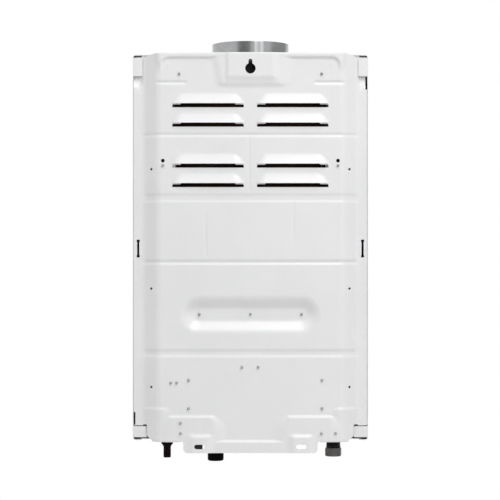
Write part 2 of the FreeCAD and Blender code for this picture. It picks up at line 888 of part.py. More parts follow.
def exchanger_fins():
    # Each fin is pierced for the tubes.
    inner = core_half - core_sheet - fin_margin
    pitch = 2 * inner / (fin_count - 1)
    grip = tube_radius + shaft_gap
    piercing = [block((-core_half, core_half), (y - grip, y + grip), (tube_level - grip, tube_level + grip))
                for y in tube_places()]
    fins = []
    for i in range(fin_count):
        x = -inner + i * pitch
        fin = block((x - fin_thickness / 2, x + fin_thickness / 2),
                    (core_front + core_sheet + fit_gap, core_rear - core_sheet - fit_gap),
                    (core_bottom() + fin_margin, core_top() - fin_margin))
        fins.append(fin.cut(piercing))
    return Part.makeCompound(fins)


def exchanger_tubes():
    # One serpentine tube through all the fins.
    ends = core_half + tube_pitch / 2 + 3
    points = [vec(-riser_x + coil_radius, tube_places()[0], tube_level)]
    side = 1
    for first, second in zip(tube_places(), tube_places()[1:]):
        points += [vec(side * ends, first, tube_level), vec(side * ends, second, tube_level)]
        side = -side
    points.append(vec(-riser_x + coil_radius, tube_places()[-1], tube_level))
    return bent_pipe(points, tube_radius, tube_pitch / 2 - 0.01)


def chamber_top():
    return core_bottom() - fit_gap


def chamber_bottom():
    return chamber_top() - chamber_height


def combustion_chamber():
    low = chamber_bottom()
    top = chamber_top()
    outside = block((-chamber_half, chamber_half), (chamber_front, chamber_rear), (low, top))
    hollow = block((-chamber_half + core_sheet, chamber_half - core_sheet),
                   (chamber_front + core_sheet, chamber_rear - core_sheet), (low - 1, top + 1))
    lip = block((-chamber_half - 4, chamber_half + 4), (chamber_front - 2.5, chamber_rear + 2.5),
                (top - core_sheet, top))
    return fused([outside, lip]).cut(hollow)


def coil_points():
    # The cold pipe winds once round the chamber on its way up to the tubes.
    out_x = chamber_half + fit_gap + coil_radius
    front = chamber_front - fit_gap - coil_radius
    rear = chamber_rear + fit_gap + coil_radius
    low = chamber_bottom() + 2 * coil_radius
    first_tube = tube_places()[0]
    return [vec(out_x, valve_axis_y, low - pipe_bend - coil_radius), vec(out_x, valve_axis_y, low),
            vec(out_x, front, low), vec(-out_x, front, low + coil_rise),
            vec(-out_x, rear, low + coil_rise * 1.5), vec(out_x, rear, low + coil_rise * 2),
            vec(out_x, front, low + coil_rise * 2.5), vec(-out_x, front, low + coil_rise * 3),
            vec(-out_x, first_tube, low + coil_rise * 3.3), vec(-riser_x, first_tube, low + coil_rise * 4.3),
            vec(-riser_x, first_tube, tube_level),
            vec(-riser_x + coil_radius, first_tube, tube_level)]


def chamber_coil():
    return bent_pipe(coil_points(), coil_radius, coil_radius + 1)


def cold_pipe():
    top = coil_points()[0]
    nut_low = valve_level + water_barrel_radius
    return fused([sided_bar(coil_radius, vec(top.x, top.y, nut_low + nut_height), top, pipe_sides),
                  hexagon_bar(union_nut, vec(top.x, top.y, nut_low + fit_gap), nut_height)])


def hot_pipe():
    last = tube_places()[-1]
    foot = base_level() + base_sheet + pipe_foot
    riser = -riser_x - 1
    points = [vec(-riser_x + coil_radius - 0.1, last, tube_level), vec(riser, last, tube_level),
              vec(riser, last, foot + pipe_offset_height),
              vec(hot_x, valve_axis_y, foot + pipe_straight), vec(hot_x, valve_axis_y, foot)]
    return bent_pipe(points, coil_radius, pipe_bend)


def exchanger_brackets():
    # Folded angles from the rear panel to the exchanger's ends.
    foot = panel_face - panel_sheet - fit_gap
    near = core_half + fit_gap
    z = (dowel_hole_height - bracket_half, dowel_hole_height + bracket_half)
    arm = block((near, near + bracket_sheet), (core_front + bracket_reach, foot), z)
    pad = block((near, field_half - 1), (foot - bracket_sheet, foot), z)
    holes = [screw_hole(dowel_hole_x, dowel_hole_height - screw_below_dowel, (0.0, -20.0)),
             drilled(dowel_hole_radius, vec(dowel_hole_x, 0, dowel_hole_height),
                     vec(dowel_hole_x, -20, dowel_hole_height))]
    return Part.makeCompound(both_sides(fused([arm, pad]).cut(holes)))


def overheat_switch():
    # Clip-on thermostat on the hot end of the serpentine.
    x = -core_half - overheat_radius - fit_gap
    y = tube_places()[-1] - overheat_length / 2
    z = tube_level + tube_radius + overheat_radius + 0.5
    return sided_bar(overheat_radius, vec(x, y, z), vec(x, y + overheat_length, z))


# burner

def burner_tray():
    # Open frame that carries the burner bars on two rails.
    low = burner_top - burner_bar_height
    high = low + tray_height
    outside = block((-burner_half, burner_half), (burner_front, burner_rear), (low, high))
    hollow = block((-burner_half + tray_sheet, burner_half - tray_sheet),
                   (burner_front + tray_sheet, burner_rear - tray_sheet), (low - 1, high + 1))
    rails = [block((-burner_half, burner_half), (y - 3, y + 3), (low, low + 2))
             for y in (burner_front + 22, burner_rear - 10)]
    front_gap = [block((x - burner_bar_width / 2 + 1, x + burner_bar_width / 2 - 1),
                       (burner_front - 3, burner_front + 3), (low + 4, low + 4 + burner_bar_width))
                 for x in burner_places()]
    return fused([outside.cut(hollow)] + rails).cut(front_gap)


def burner_places():
    pitch = 2 * (burner_half - tray_sheet) / burner_bar_count
    return [-burner_half + tray_sheet + pitch * (i + 0.5) for i in range(burner_bar_count)]


def burner_bars():
    # Pressed bars: a venturi leg at the front under a long ported head.
    low = burner_top - burner_bar_height + 2 + fit_gap
    front = burner_front + tray_sheet + fit_gap
    rear = burner_rear - tray_sheet - fit_gap
    neck = burner_top - burner_head_height
    points = [(front, low), (front + 40, low + 2), (rear - 8, low + 2), (rear, low + 10), (rear, burner_top),
              (front, burner_top), (front, neck), (rear - 26, neck - 6), (rear - 26, low + 18), (front,
                                                                                                 low + 14)]
    ports = []
    for i in range(port_count):
        y = front + (rear - front) * (i + 0.5) / port_count
        ports.append(block((-burner_half, burner_half), (y - port_width / 2, y + port_width / 2),
                           (burner_top - port_depth, burner_top + 1)))
    bars = []
    for x in burner_places():
        outline = face([vec(x - burner_bar_width / 2, y, z) for y, z in points])
        bars.append(outline.extrude(vec(burner_bar_width, 0, 0)).cut(ports))
    return Part.makeCompound(bars)


def manifold_level():
    return burner_top - burner_bar_height + 4 + burner_bar_width / 2


def gas_manifold():
    half = manifold_size / 2
    level = manifold_level()
    rail = block((-burner_half, burner_half), (manifold_y - half, manifold_y + half), (level - half,
                                                                                       level + half))
    drop = sided_bar(half * 0.9, vec(outlet_x, manifold_y, level), vec(outlet_x, manifold_y, outlet_top()))
    ends = [block(sorted((s * (burner_half - 12), s * burner_half)),
                  (manifold_y + half - 1, burner_front - fit_gap), (level - half, level - half + 1.5))
            for s in (-1, 1)]
    return fused([rail, drop] + ends)


def nozzles():
    start = manifold_y + manifold_size / 2
    tip = burner_front - fit_gap
    wide = nozzle_radius + 1.2
    profile = [(wide, start), (wide, start + 3), (nozzle_radius, start + 3), (nozzle_radius * 0.6, tip)]
    return Part.makeCompound([faceted(profile, vec(x, 0, manifold_level()), vec(0, 1, 0), 6)
                              for x in burner_places()])


def burner_bracket():
    # Channel fixed to the floor of the panel's long recess, under the burner.
    floor = panel_face - pocket_depth - panel_sheet - fit_gap
    half = pocket_centre_half + bracket_wing
    bottom = pocket_height - bracket_wing
    high = burner_top - burner_bar_height - fit_gap
    reach = burner_rear - bracket_wing
    web = block((-half, half), (floor - bracket_sheet, floor), (bottom, pocket_height + bracket_wing))
    arms = []
    for side in (-1, 1):
        arms.append(block(sorted((side * half, side * (half - bracket_sheet))), (reach, floor), (bottom,
                                                                                                 high)))
        arms.append(block(sorted((side * half, side * (half - bracket_half))), (reach, burner_rear),
                          (high - bracket_sheet, high)))
    holes = [screw_hole(side * pocket_centre_half, pocket_height) for side in (-1, 0, 1)]
    return fused([web] + arms).cut(holes)


def electrode_places():
    y = burner_front - electrode_setback
    return [vec(x, y, burner_top) for x in (-electrode_pitch, 0, electrode_pitch)]


def electrodes():
    # Ceramic rods beside the burner, with wire tips over the flame.
    tip = burner_top + electrode_tip_length
    neck = tip - electrode_tip_length + 2
    profile = [(electrode_radius, neck - 2 - electrode_length), (electrode_radius, neck - 2),
               (electrode_tip_radius, neck), (electrode_tip_radius, tip)]
    return Part.makeCompound([faceted(profile, vec(p.x, p.y, 0), vec(0, 0, 1)) for p in electrode_places()])


def electrode_plate():
    places = electrode_places()
    half = electrode_pitch + 2 * electrode_setback
    wall = burner_front - fit_gap
    low = burner_top - 18
    plate = block((-half, half), (places[0].y - electrode_setback, wall), (low,
                                                                           low + electrode_plate_thickness))
    tab = block((-half, half), (wall - 1, wall), (low - electrode_setback, low + electrode_plate_thickness))
    holes = [drilled(electrode_radius + shaft_gap, p - vec(0, 0, 30), p) for p in places]
    return fused([plate, tab]).cut(holes)


# valves

def outlet_top():
    return valve_level + gas_barrel_radius + 18


def on_axis(x):
    return vec(x, valve_axis_y, valve_level)


def gas_valve():
    # Cast body: barrel across the case, outlet up to the manifold, inlet down, spindle boss to the front.
    barrel = sided_bar(gas_barrel_radius, on_axis(gas_barrel_left), on_axis(gas_barrel_right), 16)
    arm = sided_bar(outlet_radius, on_axis(outlet_x), vec(outlet_x, manifold_y, valve_level))
    riser_radius = outlet_radius + 1
    riser = sided_bar(riser_radius, vec(outlet_x, manifold_y, valve_level - riser_radius - 0.5),
                      vec(outlet_x, manifold_y, outlet_top() - fit_gap))
    inlet = sided_bar(thread_radius + 1.5, vec(gas_x, valve_axis_y, valve_level - gas_barrel_radius / 2),
                      vec(gas_x, valve_axis_y, fitting_seat()))
    boss = sided_bar(boss_radius, on_axis(0), vec(0, boss_front(), valve_level))
    flange = sided_bar(gas_barrel_radius + 4, on_axis(gas_barrel_right - 4), on_axis(gas_barrel_right), 16)
    stem_bore = bar(stem_radius + shaft_gap, on_axis(gas_barrel_right + 1),
                    on_axis(gas_barrel_right - stem_hold))
    return fused([barrel, arm, riser, inlet, boss, flange]).cut([spindle_bore(0), stem_bore])


def spindle_bore(x):
    return bar(spindle_radius + shaft_gap, vec(x, boss_front() - 1, valve_level),
               vec(x, boss_front() + spindle_seat, valve_level))


def boss_front():
    return valve_axis_y - boss_reach


def fitting_seat():
    # Where the valve castings end and the threaded fittings begin.
    return base_level() + base_sheet + 4


def season_valve():
    # Sectional cock that shuts part of the burner in warm weather, on the front of the manifold's drop.
    y = boss_front()
    middle = y + season_length / 2
    body = sided_bar(season_radius, vec(-knob_pitch, y, valve_level),
                     vec(-knob_pitch, y + season_length, valve_level))
    link = sided_bar(season_link_radius, vec(-knob_pitch, middle, valve_level),
                     vec(outlet_x - outlet_radius * math.cos(math.pi / 12) - fit_gap, middle, valve_level))
    return fused([body, link]).cut(spindle_bore(-knob_pitch))


def solenoid():
    # Safety cut-off coil on the closed end of the gas valve.
    end = solenoid_length
    cheek = 4.0
    profile = [(solenoid_radius, 0), (solenoid_radius, cheek), (solenoid_coil_radius, cheek + 1),
               (solenoid_coil_radius, end - cheek), (solenoid_radius, end - cheek + 1), (solenoid_radius,
                                                                                         end)]
    return faceted(profile, on_axis(gas_barrel_left - fit_gap), vec(-1, 0, 0), 16)


def water_disc_right():
    return water_disc_left + water_cover_thickness + membrane_thickness + water_disc_thickness


def water_valve():
    left = water_disc_left + water_cover_thickness + membrane_thickness
    port_radius = thread_radius + 2.0
    disc = sided_bar(water_disc_radius, on_axis(left), on_axis(water_disc_right()), 24)
    barrel = sided_bar(water_barrel_radius, on_axis(left), on_axis(water_barrel_right), 16)
    neck_x = left + port_radius + fit_gap
    shoulder = valve_level - water_disc_radius
    neck = sided_bar(port_radius, on_axis(neck_x), vec(neck_x, valve_axis_y, shoulder - 14))
    inlet = sided_bar(port_radius, vec(cold_x, valve_axis_y, shoulder - 1.5),
                      vec(cold_x, valve_axis_y, fitting_seat()))
    drain = sided_bar(drain_thread_radius + 4.5, on_axis(drain_x), vec(drain_x, valve_axis_y, drain_seat()))
    outlet = coil_points()[0]
    port = sided_bar(coil_radius + 0.5, vec(outlet.x, outlet.y, valve_level),
                     vec(outlet.x, outlet.y, valve_level + water_barrel_radius))
    boss = sided_bar(boss_radius, on_axis(knob_pitch), vec(knob_pitch, boss_front(), valve_level))
    cuts = [spindle_bore(knob_pitch),
            bar(drain_thread_radius + shaft_gap, vec(drain_x, valve_axis_y, drain_seat() - 1),
                vec(drain_x, valve_axis_y, drain_seat() + drain_thread_length + 1)),
            bar(stem_clear_radius, on_axis(left - 1), on_axis(left + water_disc_thickness - 3))]
    return fused([disc, barrel, neck, inlet, drain, port, boss]).cut(cuts)


def water_valve_cover():
    cover = sided_bar(water_disc_radius, on_axis(water_disc_left),
                      on_axis(water_disc_left + water_cover_thickness - 0.01), 24)
    hub = sided_bar(stem_collar_radius + 1, on_axis(stem_collar_x + 2.5), on_axis(water_disc_left))
    bore = bar(stem_radius + shaft_gap, on_axis(gas_barrel_right), on_axis(water_disc_left + 20))
    return fused([cover, hub]).cut(bore)


def membrane():
    left = water_disc_left + water_cover_thickness
    disc = sided_bar(water_disc_radius, on_axis(left), on_axis(left + membrane_thickness), 24)
    return disc.cut(drilled(stem_clear_radius, on_axis(left - 1), on_axis(left + 5)))


def valve_stem():
    # Rod that the membrane pushes to open the gas, with the collar that works the switch.
    right = water_disc_left + water_cover_thickness + membrane_thickness
    rod = bar(stem_radius, on_axis(gas_barrel_right - stem_hold + stem_travel + 1), on_axis(right + 4))
    return fused([rod, bar(stem_collar_radius, on_axis(stem_collar_x), on_axis(stem_collar_x + 1.5))])


def valve_screws():
    # Bolts round the water valve's disc.
    reach = water_disc_radius - membrane_bolt_inset
    bolts = []
    for i in range(membrane_bolts):
        angle = math.radians(360.0 * (i + 0.5) / membrane_bolts)
        foot = on_axis(water_disc_left) + vec(0, reach * math.cos(angle), reach * math.sin(angle))
        bolts.append(faceted([(bolt_radius, -bolt_height), (bolt_radius, 0)], foot, vec(1, 0, 0), 6))
    return Part.makeCompound(bolts)


def lever_pivot():
    return vec(stem_collar_x - 3.0, valve_axis_y, valve_level + lever_pivot_rise)


def microswitch():
    # Snap switch on top of the gas valve, with ears that hold the lever's pin.
    pivot = lever_pivot()
    half = switch_depth / 2
    low = valve_level + gas_barrel_radius + 4 + fit_gap
    body = block((gas_barrel_right - switch_length, gas_barrel_right),
                 (valve_axis_y - half, valve_axis_y + half), (low, low + switch_height))
    ears = [block((gas_barrel_right - 1, pivot.x + 2),
                  (pivot.y + side * half - ear_sheet / 2, pivot.y + side * half + ear_sheet / 2),
                  (pivot.z - 2, pivot.z + 2.5)) for side in (-1, 1)]
    pin = bar(lever_pin_radius, pivot - vec(0, half, 0), pivot + vec(0, half, 0))
    button = sided_bar(1.2, vec(gas_barrel_right - 1, valve_axis_y, low + 8),
                       vec(gas_barrel_right + 1.5, valve_axis_y, low + 8), 8)
    return fused([body, pin, button] + ears)


def switch_lever():
    # Hangs from its pin with the tip against the stem's collar.
    pivot = lever_pivot()
    half = switch_depth / 2 - ear_sheet / 2 - fit_gap
    right = stem_collar_x - 0.4
    tip = valve_level + stem_radius + 0.8
    arm = block((right - lever_thickness, right), (pivot.y - 3, pivot.y + 3), (tip, pivot.z - 0.5))
    hub = sided_bar(2.0, pivot - vec(0, half, 0), pivot + vec(0, half, 0))
    web = block((pivot.x, right), (pivot.y - 3, pivot.y + 3), (pivot.z - 1.8, pivot.z + 1))
    bore = bar(lever_pin_radius + shaft_gap, pivot - vec(0, 8, 0), pivot + vec(0, 8, 0))
    return fused([arm, hub, web]).cut(bore)


# base plate and fittings

def base_level():
    return case_bottom + case_sheet + fit_gap


def fitting_holes():
    # Holes in the base plate round each fitting: (x, radius).
    return [(hot_x, thread_radius + fitting_hole_gap), (cold_x, thread_radius + 2 + fitting_hole_gap),
            (gas_x, thread_radius + 1.5 + fitting_hole_gap)]


def base_plate():
    # Plate inside the bottom of the cover, turned up at the rear against the panel.
    level = base_level()
    top = level + base_sheet
    rear = panel_face - panel_sheet - fit_gap
    half = foot_outer_half + 10
    near = flange_face - panel_sheet - 3
    through = (level - 1, level + 3)
    plate = block((-base_half, base_half), (base_front, near), (level, top))
    tongue = block((-half, half), (near - 1, rear), (level, top))
    upstand = block((-half, half), (rear - bracket_sheet, rear), (level, level + base_upstand))
    cuts = [drilled(radius, vec(x, valve_axis_y, through[0]), vec(x, valve_axis_y, through[1]), 16)
            for x, radius in fitting_holes() + [(drain_x, drain_head_radius + fitting_hole_gap)]]
    x, y = battery_box_span()
    cuts.append(block((x[0] - fit_gap, x[1] + fit_gap), (y[0] - fit_gap, door_pivot().y + ear_half + fit_gap),
                      through))
    cuts += [screw_hole(x, z, (0.0, rear - 5)) for x, z in screw_places() if z < level + base_upstand]
    for side in (-1, 1):
        x = side * cover_screw_x
        cuts.append(drilled(screw_radius + screw_hole_gap, vec(x, cover_screw_y, through[0]),
                            vec(x, cover_screw_y, through[1])))
    for i in range(base_vent_count):
        x = -base_vent_half + 2 * base_vent_half * i / (base_vent_count - 1)
        cuts.append(block((x - 2.5, x + 2.5), (base_front + 8, base_front + 8 + base_vent_length), through))
    return fused([plate, tongue, upstand]).cut(cuts)


def threaded_pipe(x, top, end):
    # Male pipe thread with a chamfered end and a waterway, under a plain shoulder.
    bore = thread_radius - nipple_wall
    shoulder = thread_radius + nipple_shoulder
    step = case_bottom - nipple_shoulder_reach
    profile = [(bore, end), (thread_radius - 1, end), (thread_radius, end + 1), (thread_radius, step),
               (shoulder, step), (shoulder, top), (bore, top)]
    return turned(profile, vec(x, valve_axis_y, 0), vec(0, 0, 1))


def cold_inlet():
    return threaded_pipe(cold_x, fitting_seat() - fit_gap, cold_end)


def gas_inlet():
    return threaded_pipe(gas_x, fitting_seat() - fit_gap, gas_end)


def hot_outlet():
    return threaded_pipe(hot_x, base_level() + base_sheet + pipe_foot - fit_gap, hot_thread_end + fit_gap)


def hot_nut():
    # Hexagonal coupling with a chamfered lower edge, seated under the hot outlet.
    top = hot_thread_end
    low = top - hex_height
    centre = vec(hot_x, valve_axis_y, 0)
    corner = hex_across_flats / math.sqrt(3) + 0.5
    body = hexagon_bar(hex_across_flats, centre + vec(0, 0, low), hex_height, hex_turn)
    chamfer = turned([(0, low), (hex_across_flats / 2, low), (corner, low + 3), (corner, top), (0, top)],
                     centre, vec(0, 0, 1))
    socket = bar(hex_bore_radius, centre + vec(0, 0, low - 1), centre + vec(0, 0, low + hex_bore_depth))
    bore = bar(thread_radius - nipple_wall, centre + vec(0, 0, low), centre + vec(0, 0, top + 1))
    return body.common(chamfer).cut([socket, bore])


def gas_cap():
    # Push-on transport cap with a rounded end.
    inner = thread_radius + shaft_gap
    outer = inner + cap_wall
    low = gas_end - fit_gap - cap_end_wall
    profile = [(0, low), (outer - 3, low), (outer - 0.9, low + 0.9), (outer, low + 3), (outer,
                                                                                        low + cap_height),
               (inner, low + cap_height), (inner, gas_end - fit_gap), (0, gas_end - fit_gap)]
    return turned(profile, vec(gas_x, valve_axis_y, 0), vec(0, 0, 1))


def drain_seat():
    return base_level() - 5.0


def drain_plug():
    # Screw plug with a fluted head that narrows to a short drain spout.
    seat = drain_seat() - drain_seal_thickness
    head_low = seat - drain_head_height
    centre = vec(drain_x, valve_axis_y, 0)
    profile = [(drain_stem_radius - 1, drain_end), (drain_stem_radius, drain_end + 1),
               (drain_stem_radius, head_low - 3), (drain_head_radius - 1, head_low),
               (drain_head_radius, head_low + 1), (drain_head_radius, seat)]
    thread = bar(drain_thread_radius, centre + vec(0, 0, seat - 1),
                 centre + vec(0, 0, drain_seat() + drain_thread_length))
    plug = fused([faceted(profile, centre, vec(0, 0, 1), 16), thread])
    reach = drain_head_radius + 0.6
    flutes = []
    for i in range(drain_flutes):
        angle = 2 * math.pi * i / drain_flutes
        foot = centre + vec(reach * math.cos(angle), reach * math.sin(angle), head_low - 4)
        flutes.append(sided_bar(1.4, foot, foot + vec(0, 0, drain_head_height + 5), 6))
    return plug.cut(flutes)


def drain_seal():
    high = vec(drain_x, valve_axis_y, drain_seat())
    low = high - vec(0, 0, drain_seal_thickness)
    up = vec(0, 0, 1)
    return sided_bar(drain_head_radius - 1.5, low, high, 16).cut(bar(drain_thread_radius + shaft_gap,
                                                                     low - up,
                                                                      high + up))


def grommets():
    # Rubber rings that line the base plate's fitting holes.
    level = base_level()
    top = level + base_sheet
    radius = thread_radius + nipple_shoulder + shaft_gap
    rings = []
    for x, hole in fitting_holes():
        profile = [(hole, level - 0.2), (hole, top + shaft_gap), (hole + 2, top + shaft_gap), (hole + 2,
                                                                                               top + 1.4)]
        centre = vec(x, valve_axis_y, 0)
        ring = faceted(profile, centre, vec(0, 0, 1), 16)
        rings.append(ring.cut(drilled(radius, centre + vec(0, 0, level - 2), centre + vec(0, 0, top + 3),
                                      16)))
    return Part.makeCompound(rings)


def component_brackets():
    # Angles that carry the water valve, the igniter and the gas valve from the rear panel.
    foot = panel_face - panel_sheet - fit_gap
    pad = (foot - bracket_sheet, foot)
    bottom = screw_column_heights[1] - bracket_margin[0]
    top = screw_column_heights[0] + bracket_margin[1]
    left, right = igniter_bracket
    low = gas_bracket_bottom
    water = [block(water_bracket, pad, (bottom, top)),
             block((water_arm_x, water_arm_x + bracket_sheet),
                   (valve_axis_y + water_barrel_radius + fit_gap, foot), (bottom + 16, top))]
    igniter = [block(igniter_bracket, pad, (bottom, top)),
               block((left, left + bracket_sheet), (igniter_rear, foot), (bottom, top)),
               block((left, right - 2), (igniter_rear, igniter_rear + bracket_sheet), (bottom, top))]
    gas = [block(gas_bracket, pad, (low, low + gas_bracket_height)),
           block(gas_bracket, (valve_axis_y + gas_barrel_radius + fit_gap, foot), (low, low + bracket_sheet))]
    holes = [screw_hole(x, z, (0.0, foot - 5)) for x, z in screw_places()]
    return Part.makeCompound([fused(part).cut(holes) for part in (water, igniter, gas)])


# electrics

def ignition_box():
    x = (igniter_left, igniter_left + igniter_width)
    z = (igniter_bottom, igniter_bottom + igniter_height)
    y = (igniter_rear - fit_gap - igniter_depth, igniter_rear - fit_gap)
    high = z[1] - 8
    terminals = []
    for i in range(terminal_count):
        start = x[0] + 8 + terminal_pitch * i
        terminals.append(block((start, start + terminal_size), (y[0] - 4, y[0] + 1),
                               (high - terminal_size, high)))
    return fused([block(x, y, z)] + terminals)


def battery_box_span():
    width = 4 * battery_radius + 3 * battery_gap + 2 * battery_box_wall
    depth = battery_length + 2 * battery_gap + 2 * battery_box_wall + tongue_room
    return ((battery_box_left, battery_box_left + width), (battery_box_rear - depth, battery_box_rear))


def battery_floor():
    return case_bottom


def battery_box():
    x, y = battery_box_span()
    low = battery_floor()
    wall = battery_box_wall
    top = low + 2 * battery_radius + 2 * battery_gap + wall
    shell = block(x, y, (low, top)).cut(block((x[0] + wall, x[1] - wall), (y[0] + wall, y[1] - wall),
                                              (low - 1, top - wall)))
    seat = base_level() + base_sheet + fit_gap
    flange = block((x[0] - 4, x[1] + 4), (y[0] - 4, y[1] + 4), (seat, seat + wall))
    flange = flange.cut(block((x[0] + 0.5, x[1] - 0.5), (y[0] + 0.5, y[1] - 0.5), (low, top)))
    pivot = door_pivot()
    ears = [block((start, start + door_ear), (y[1] - ear_root, pivot.y + ear_half), (pivot.z - ear_half,
                                                                                     low + 4))
            for start in (x[0], x[1] - door_ear)]
    pin = bar(door_pin_radius, vec(x[0] + 1, pivot.y, pivot.z), vec(x[1] - 1, pivot.y, pivot.z))
    return fused([shell, flange, pin] + ears)


def door_pivot():
    return vec(0, battery_box_rear + 3.0, battery_floor() - fit_gap - door_thickness / 2 - 0.4)


def battery_door():
    # Flat lid with finger ribs, a hinge barrel at the rear and a snap tongue at the front.
    x, y = battery_box_span()
    pivot = door_pivot()
    top = battery_floor() - fit_gap
    low = top - door_thickness
    inner_x = (x[0] + door_ear + fit_gap, x[1] - door_ear - fit_gap)
    middle_x = (x[0] + 22, x[1] - 22)
    plate_rear = pivot.y - math.hypot(pivot.y - y[1] + ear_root, ear_half) - fit_gap
    front = y[0] + battery_box_wall + fit_gap
    plate = block(x, (y[0], plate_rear), (low, top))
    neck = block(inner_x, (plate_rear - 1, pivot.y), (low, top))
    barrel = sided_bar(2.4, vec(inner_x[0], pivot.y, pivot.z), vec(inner_x[1], pivot.y, pivot.z))
    tongue = block(middle_x, (front, front + 1.4), (top - 0.5, top + 3.0))
    ribs = [block(middle_x, (y[0] + 4 * i, y[0] + 4 * i + 1.5), (low - 0.8, top - 1)) for i in range(1, 5)]
    bore = bar(door_pin_radius + shaft_gap, vec(x[0], pivot.y, pivot.z), vec(x[1], pivot.y, pivot.z))
    return fused([plate, neck, barrel, tongue] + ribs).cut(bore)


def batteries():
    x, y = battery_box_span()
    level = battery_floor() + battery_gap + battery_radius
    start = y[0] + battery_box_wall + battery_gap + tongue_room
    first = x[0] + battery_box_wall + battery_gap + battery_radius
    end = battery_length - 2
    profile = [(battery_radius, 0), (battery_radius, end - 1), (battery_radius - 1, end), (4.7, end),
               (4.7, battery_length)]
    second = first + 2 * battery_radius + battery_gap
    return Part.makeCompound([faceted(profile, vec(first, start, level), vec(0, 1, 0), 16),
                              faceted(profile, vec(second, start + battery_length, level), vec(0, -1, 0),
                                      16)])


# controls

def knob_seat():
    return case_front + control_depth - 1.0


def spindle(x):
    # Flatted spindle from the valve's boss into the knob.
    end = vec(x, knob_seat() - knob_depth + 6, valve_level)
    shaft = bar(spindle_radius, vec(x, boss_front() + spindle_seat - fit_gap, valve_level), end)
    flat = block((x - 5, x + 5), (end.y - 1, end.y + 12), (valve_level + spindle_radius - 1.0,
                                                           valve_level + 10))
    return shaft.cut(flat)


def knob(x):
    # Skirted knob with a finger grip across its face and a socket for the spindle.
    base = knob_seat()
    profile = [(knob_skirt_radius, 0), (knob_skirt_radius, 2.5), (knob_radius, 4.0),
               (knob_radius - 1.5, knob_depth - 2), (knob_radius - 3.5, knob_depth)]
    body = faceted(profile, vec(x, base, valve_level), vec(0, -1, 0), 24)
    face_y = base - knob_depth
    cuts = []
    for side in (-1, 1):
        span = sorted((x + side * knob_grip_half, x + side * 30))
        cuts.append(block(span, (face_y - 1, base - 8.0), (valve_level - 30, valve_level + 30)))
    cuts.append(block((x - 0.7, x + 0.7), (face_y - 1, face_y + 0.8),
                      (valve_level + 4, valve_level + knob_radius - 3)))
    cuts.append(drilled(spindle_radius + 0.02, vec(x, base + 1, valve_level), vec(x, face_y + 5.5,
                                                                                  valve_level)))
    return body.cut(cuts)


def window_pane(level, width, height):
    back = case_front + case_sheet
    if level < sight_level - 20:
        back += control_depth
    x = (-width / 2 - 5, width / 2 + 5)
    z = (level - height / 2 - 4, level + height / 2 + 4)
    return block(x, (back + 0.2, back + 0.2 + window_glass), z)


def display_board():
    back = case_front + case_sheet + control_depth + window_glass + 0.2
    half = window_width / 2 + 5
    reach = window_height / 2 + 4
    return block((-half, half), (back + 0.2, back + 5), (window_level - reach, window_level + reach))


makers = {
    "back_plate": back_plate,
    "front_cover": front_cover,
    "base_plate": base_plate,
    "chassis_screws": chassis_screws,
    "cover_screws": cover_screws,
    "flue_collar": flue_collar,
    "draft_hood": draft_hood,
    "exchanger_shell": exchanger_shell,
    "exchanger_fins": exchanger_fins,
    "exchanger_tubes": exchanger_tubes,
    "combustion_chamber": combustion_chamber,
    "chamber_coil": chamber_coil,
    "exchanger_brackets": exchanger_brackets,
    "overheat_switch": overheat_switch,
    "burner_tray": burner_tray,
    "burner_bars": burner_bars,
    "burner_bracket": burner_bracket,
    "gas_manifold": gas_manifold,
    "gas_nozzles": nozzles,
    "electrodes": electrodes,
    "electrode_plate": electrode_plate,
    "gas_valve": gas_valve,
    "season_valve": season_valve,
    "gas_solenoid": solenoid,
    "water_valve": water_valve,
    "water_valve_cover": water_valve_cover,
    "membrane": membrane,
    "water_valve_bolts": valve_screws,
    "valve_stem": valve_stem,
    "microswitch": microswitch,
    "switch_lever": switch_lever,
    "cold_pipe": cold_pipe,
    "hot_pipe": hot_pipe,
    "cold_inlet": cold_inlet,
    "hot_outlet": hot_outlet,
    "hot_outlet_nut": hot_nut,
    "gas_inlet": gas_inlet,
    "gas_inlet_cap": gas_cap,
    "drain_plug": drain_plug,
    "drain_seal": drain_seal,
    "fitting_grommets": grommets,
    "component_brackets": component_brackets,
    "ignition_box": ignition_box,
    "battery_box": battery_box,
    "battery_door": battery_door,
    "batteries": batteries,
    "gas_spindle": lambda: spindle(0),
    "water_spindle": lambda: spindle(knob_pitch),
    "season_spindle": lambda: spindle(-knob_pitch),
    "gas_knob": lambda: knob(0),
    "water_knob": lambda: knob(knob_pitch),
    "season_knob": lambda: knob(-knob_pitch),
    "display_window": lambda: window_pane(window_level, window_width, window_height),
    "display_board": display_board,
    "sight_glass": lambda: window_pane(sight_level, sight_width, sight_height),
}

os.makedirs("parts", exist_ok=True)
for name, maker in makers.items():
    shape = maker()
    shape.exportStep("parts/" + name + ".step")
    print(name, len(shape.Solids), shape.isValid(), round(shape.Volume), len(shape.Faces))
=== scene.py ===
import bpy
import bmesh
import json
import math
from contextlib import contextmanager
import numpy as np
from mathutils import Matrix, Vector, geometry


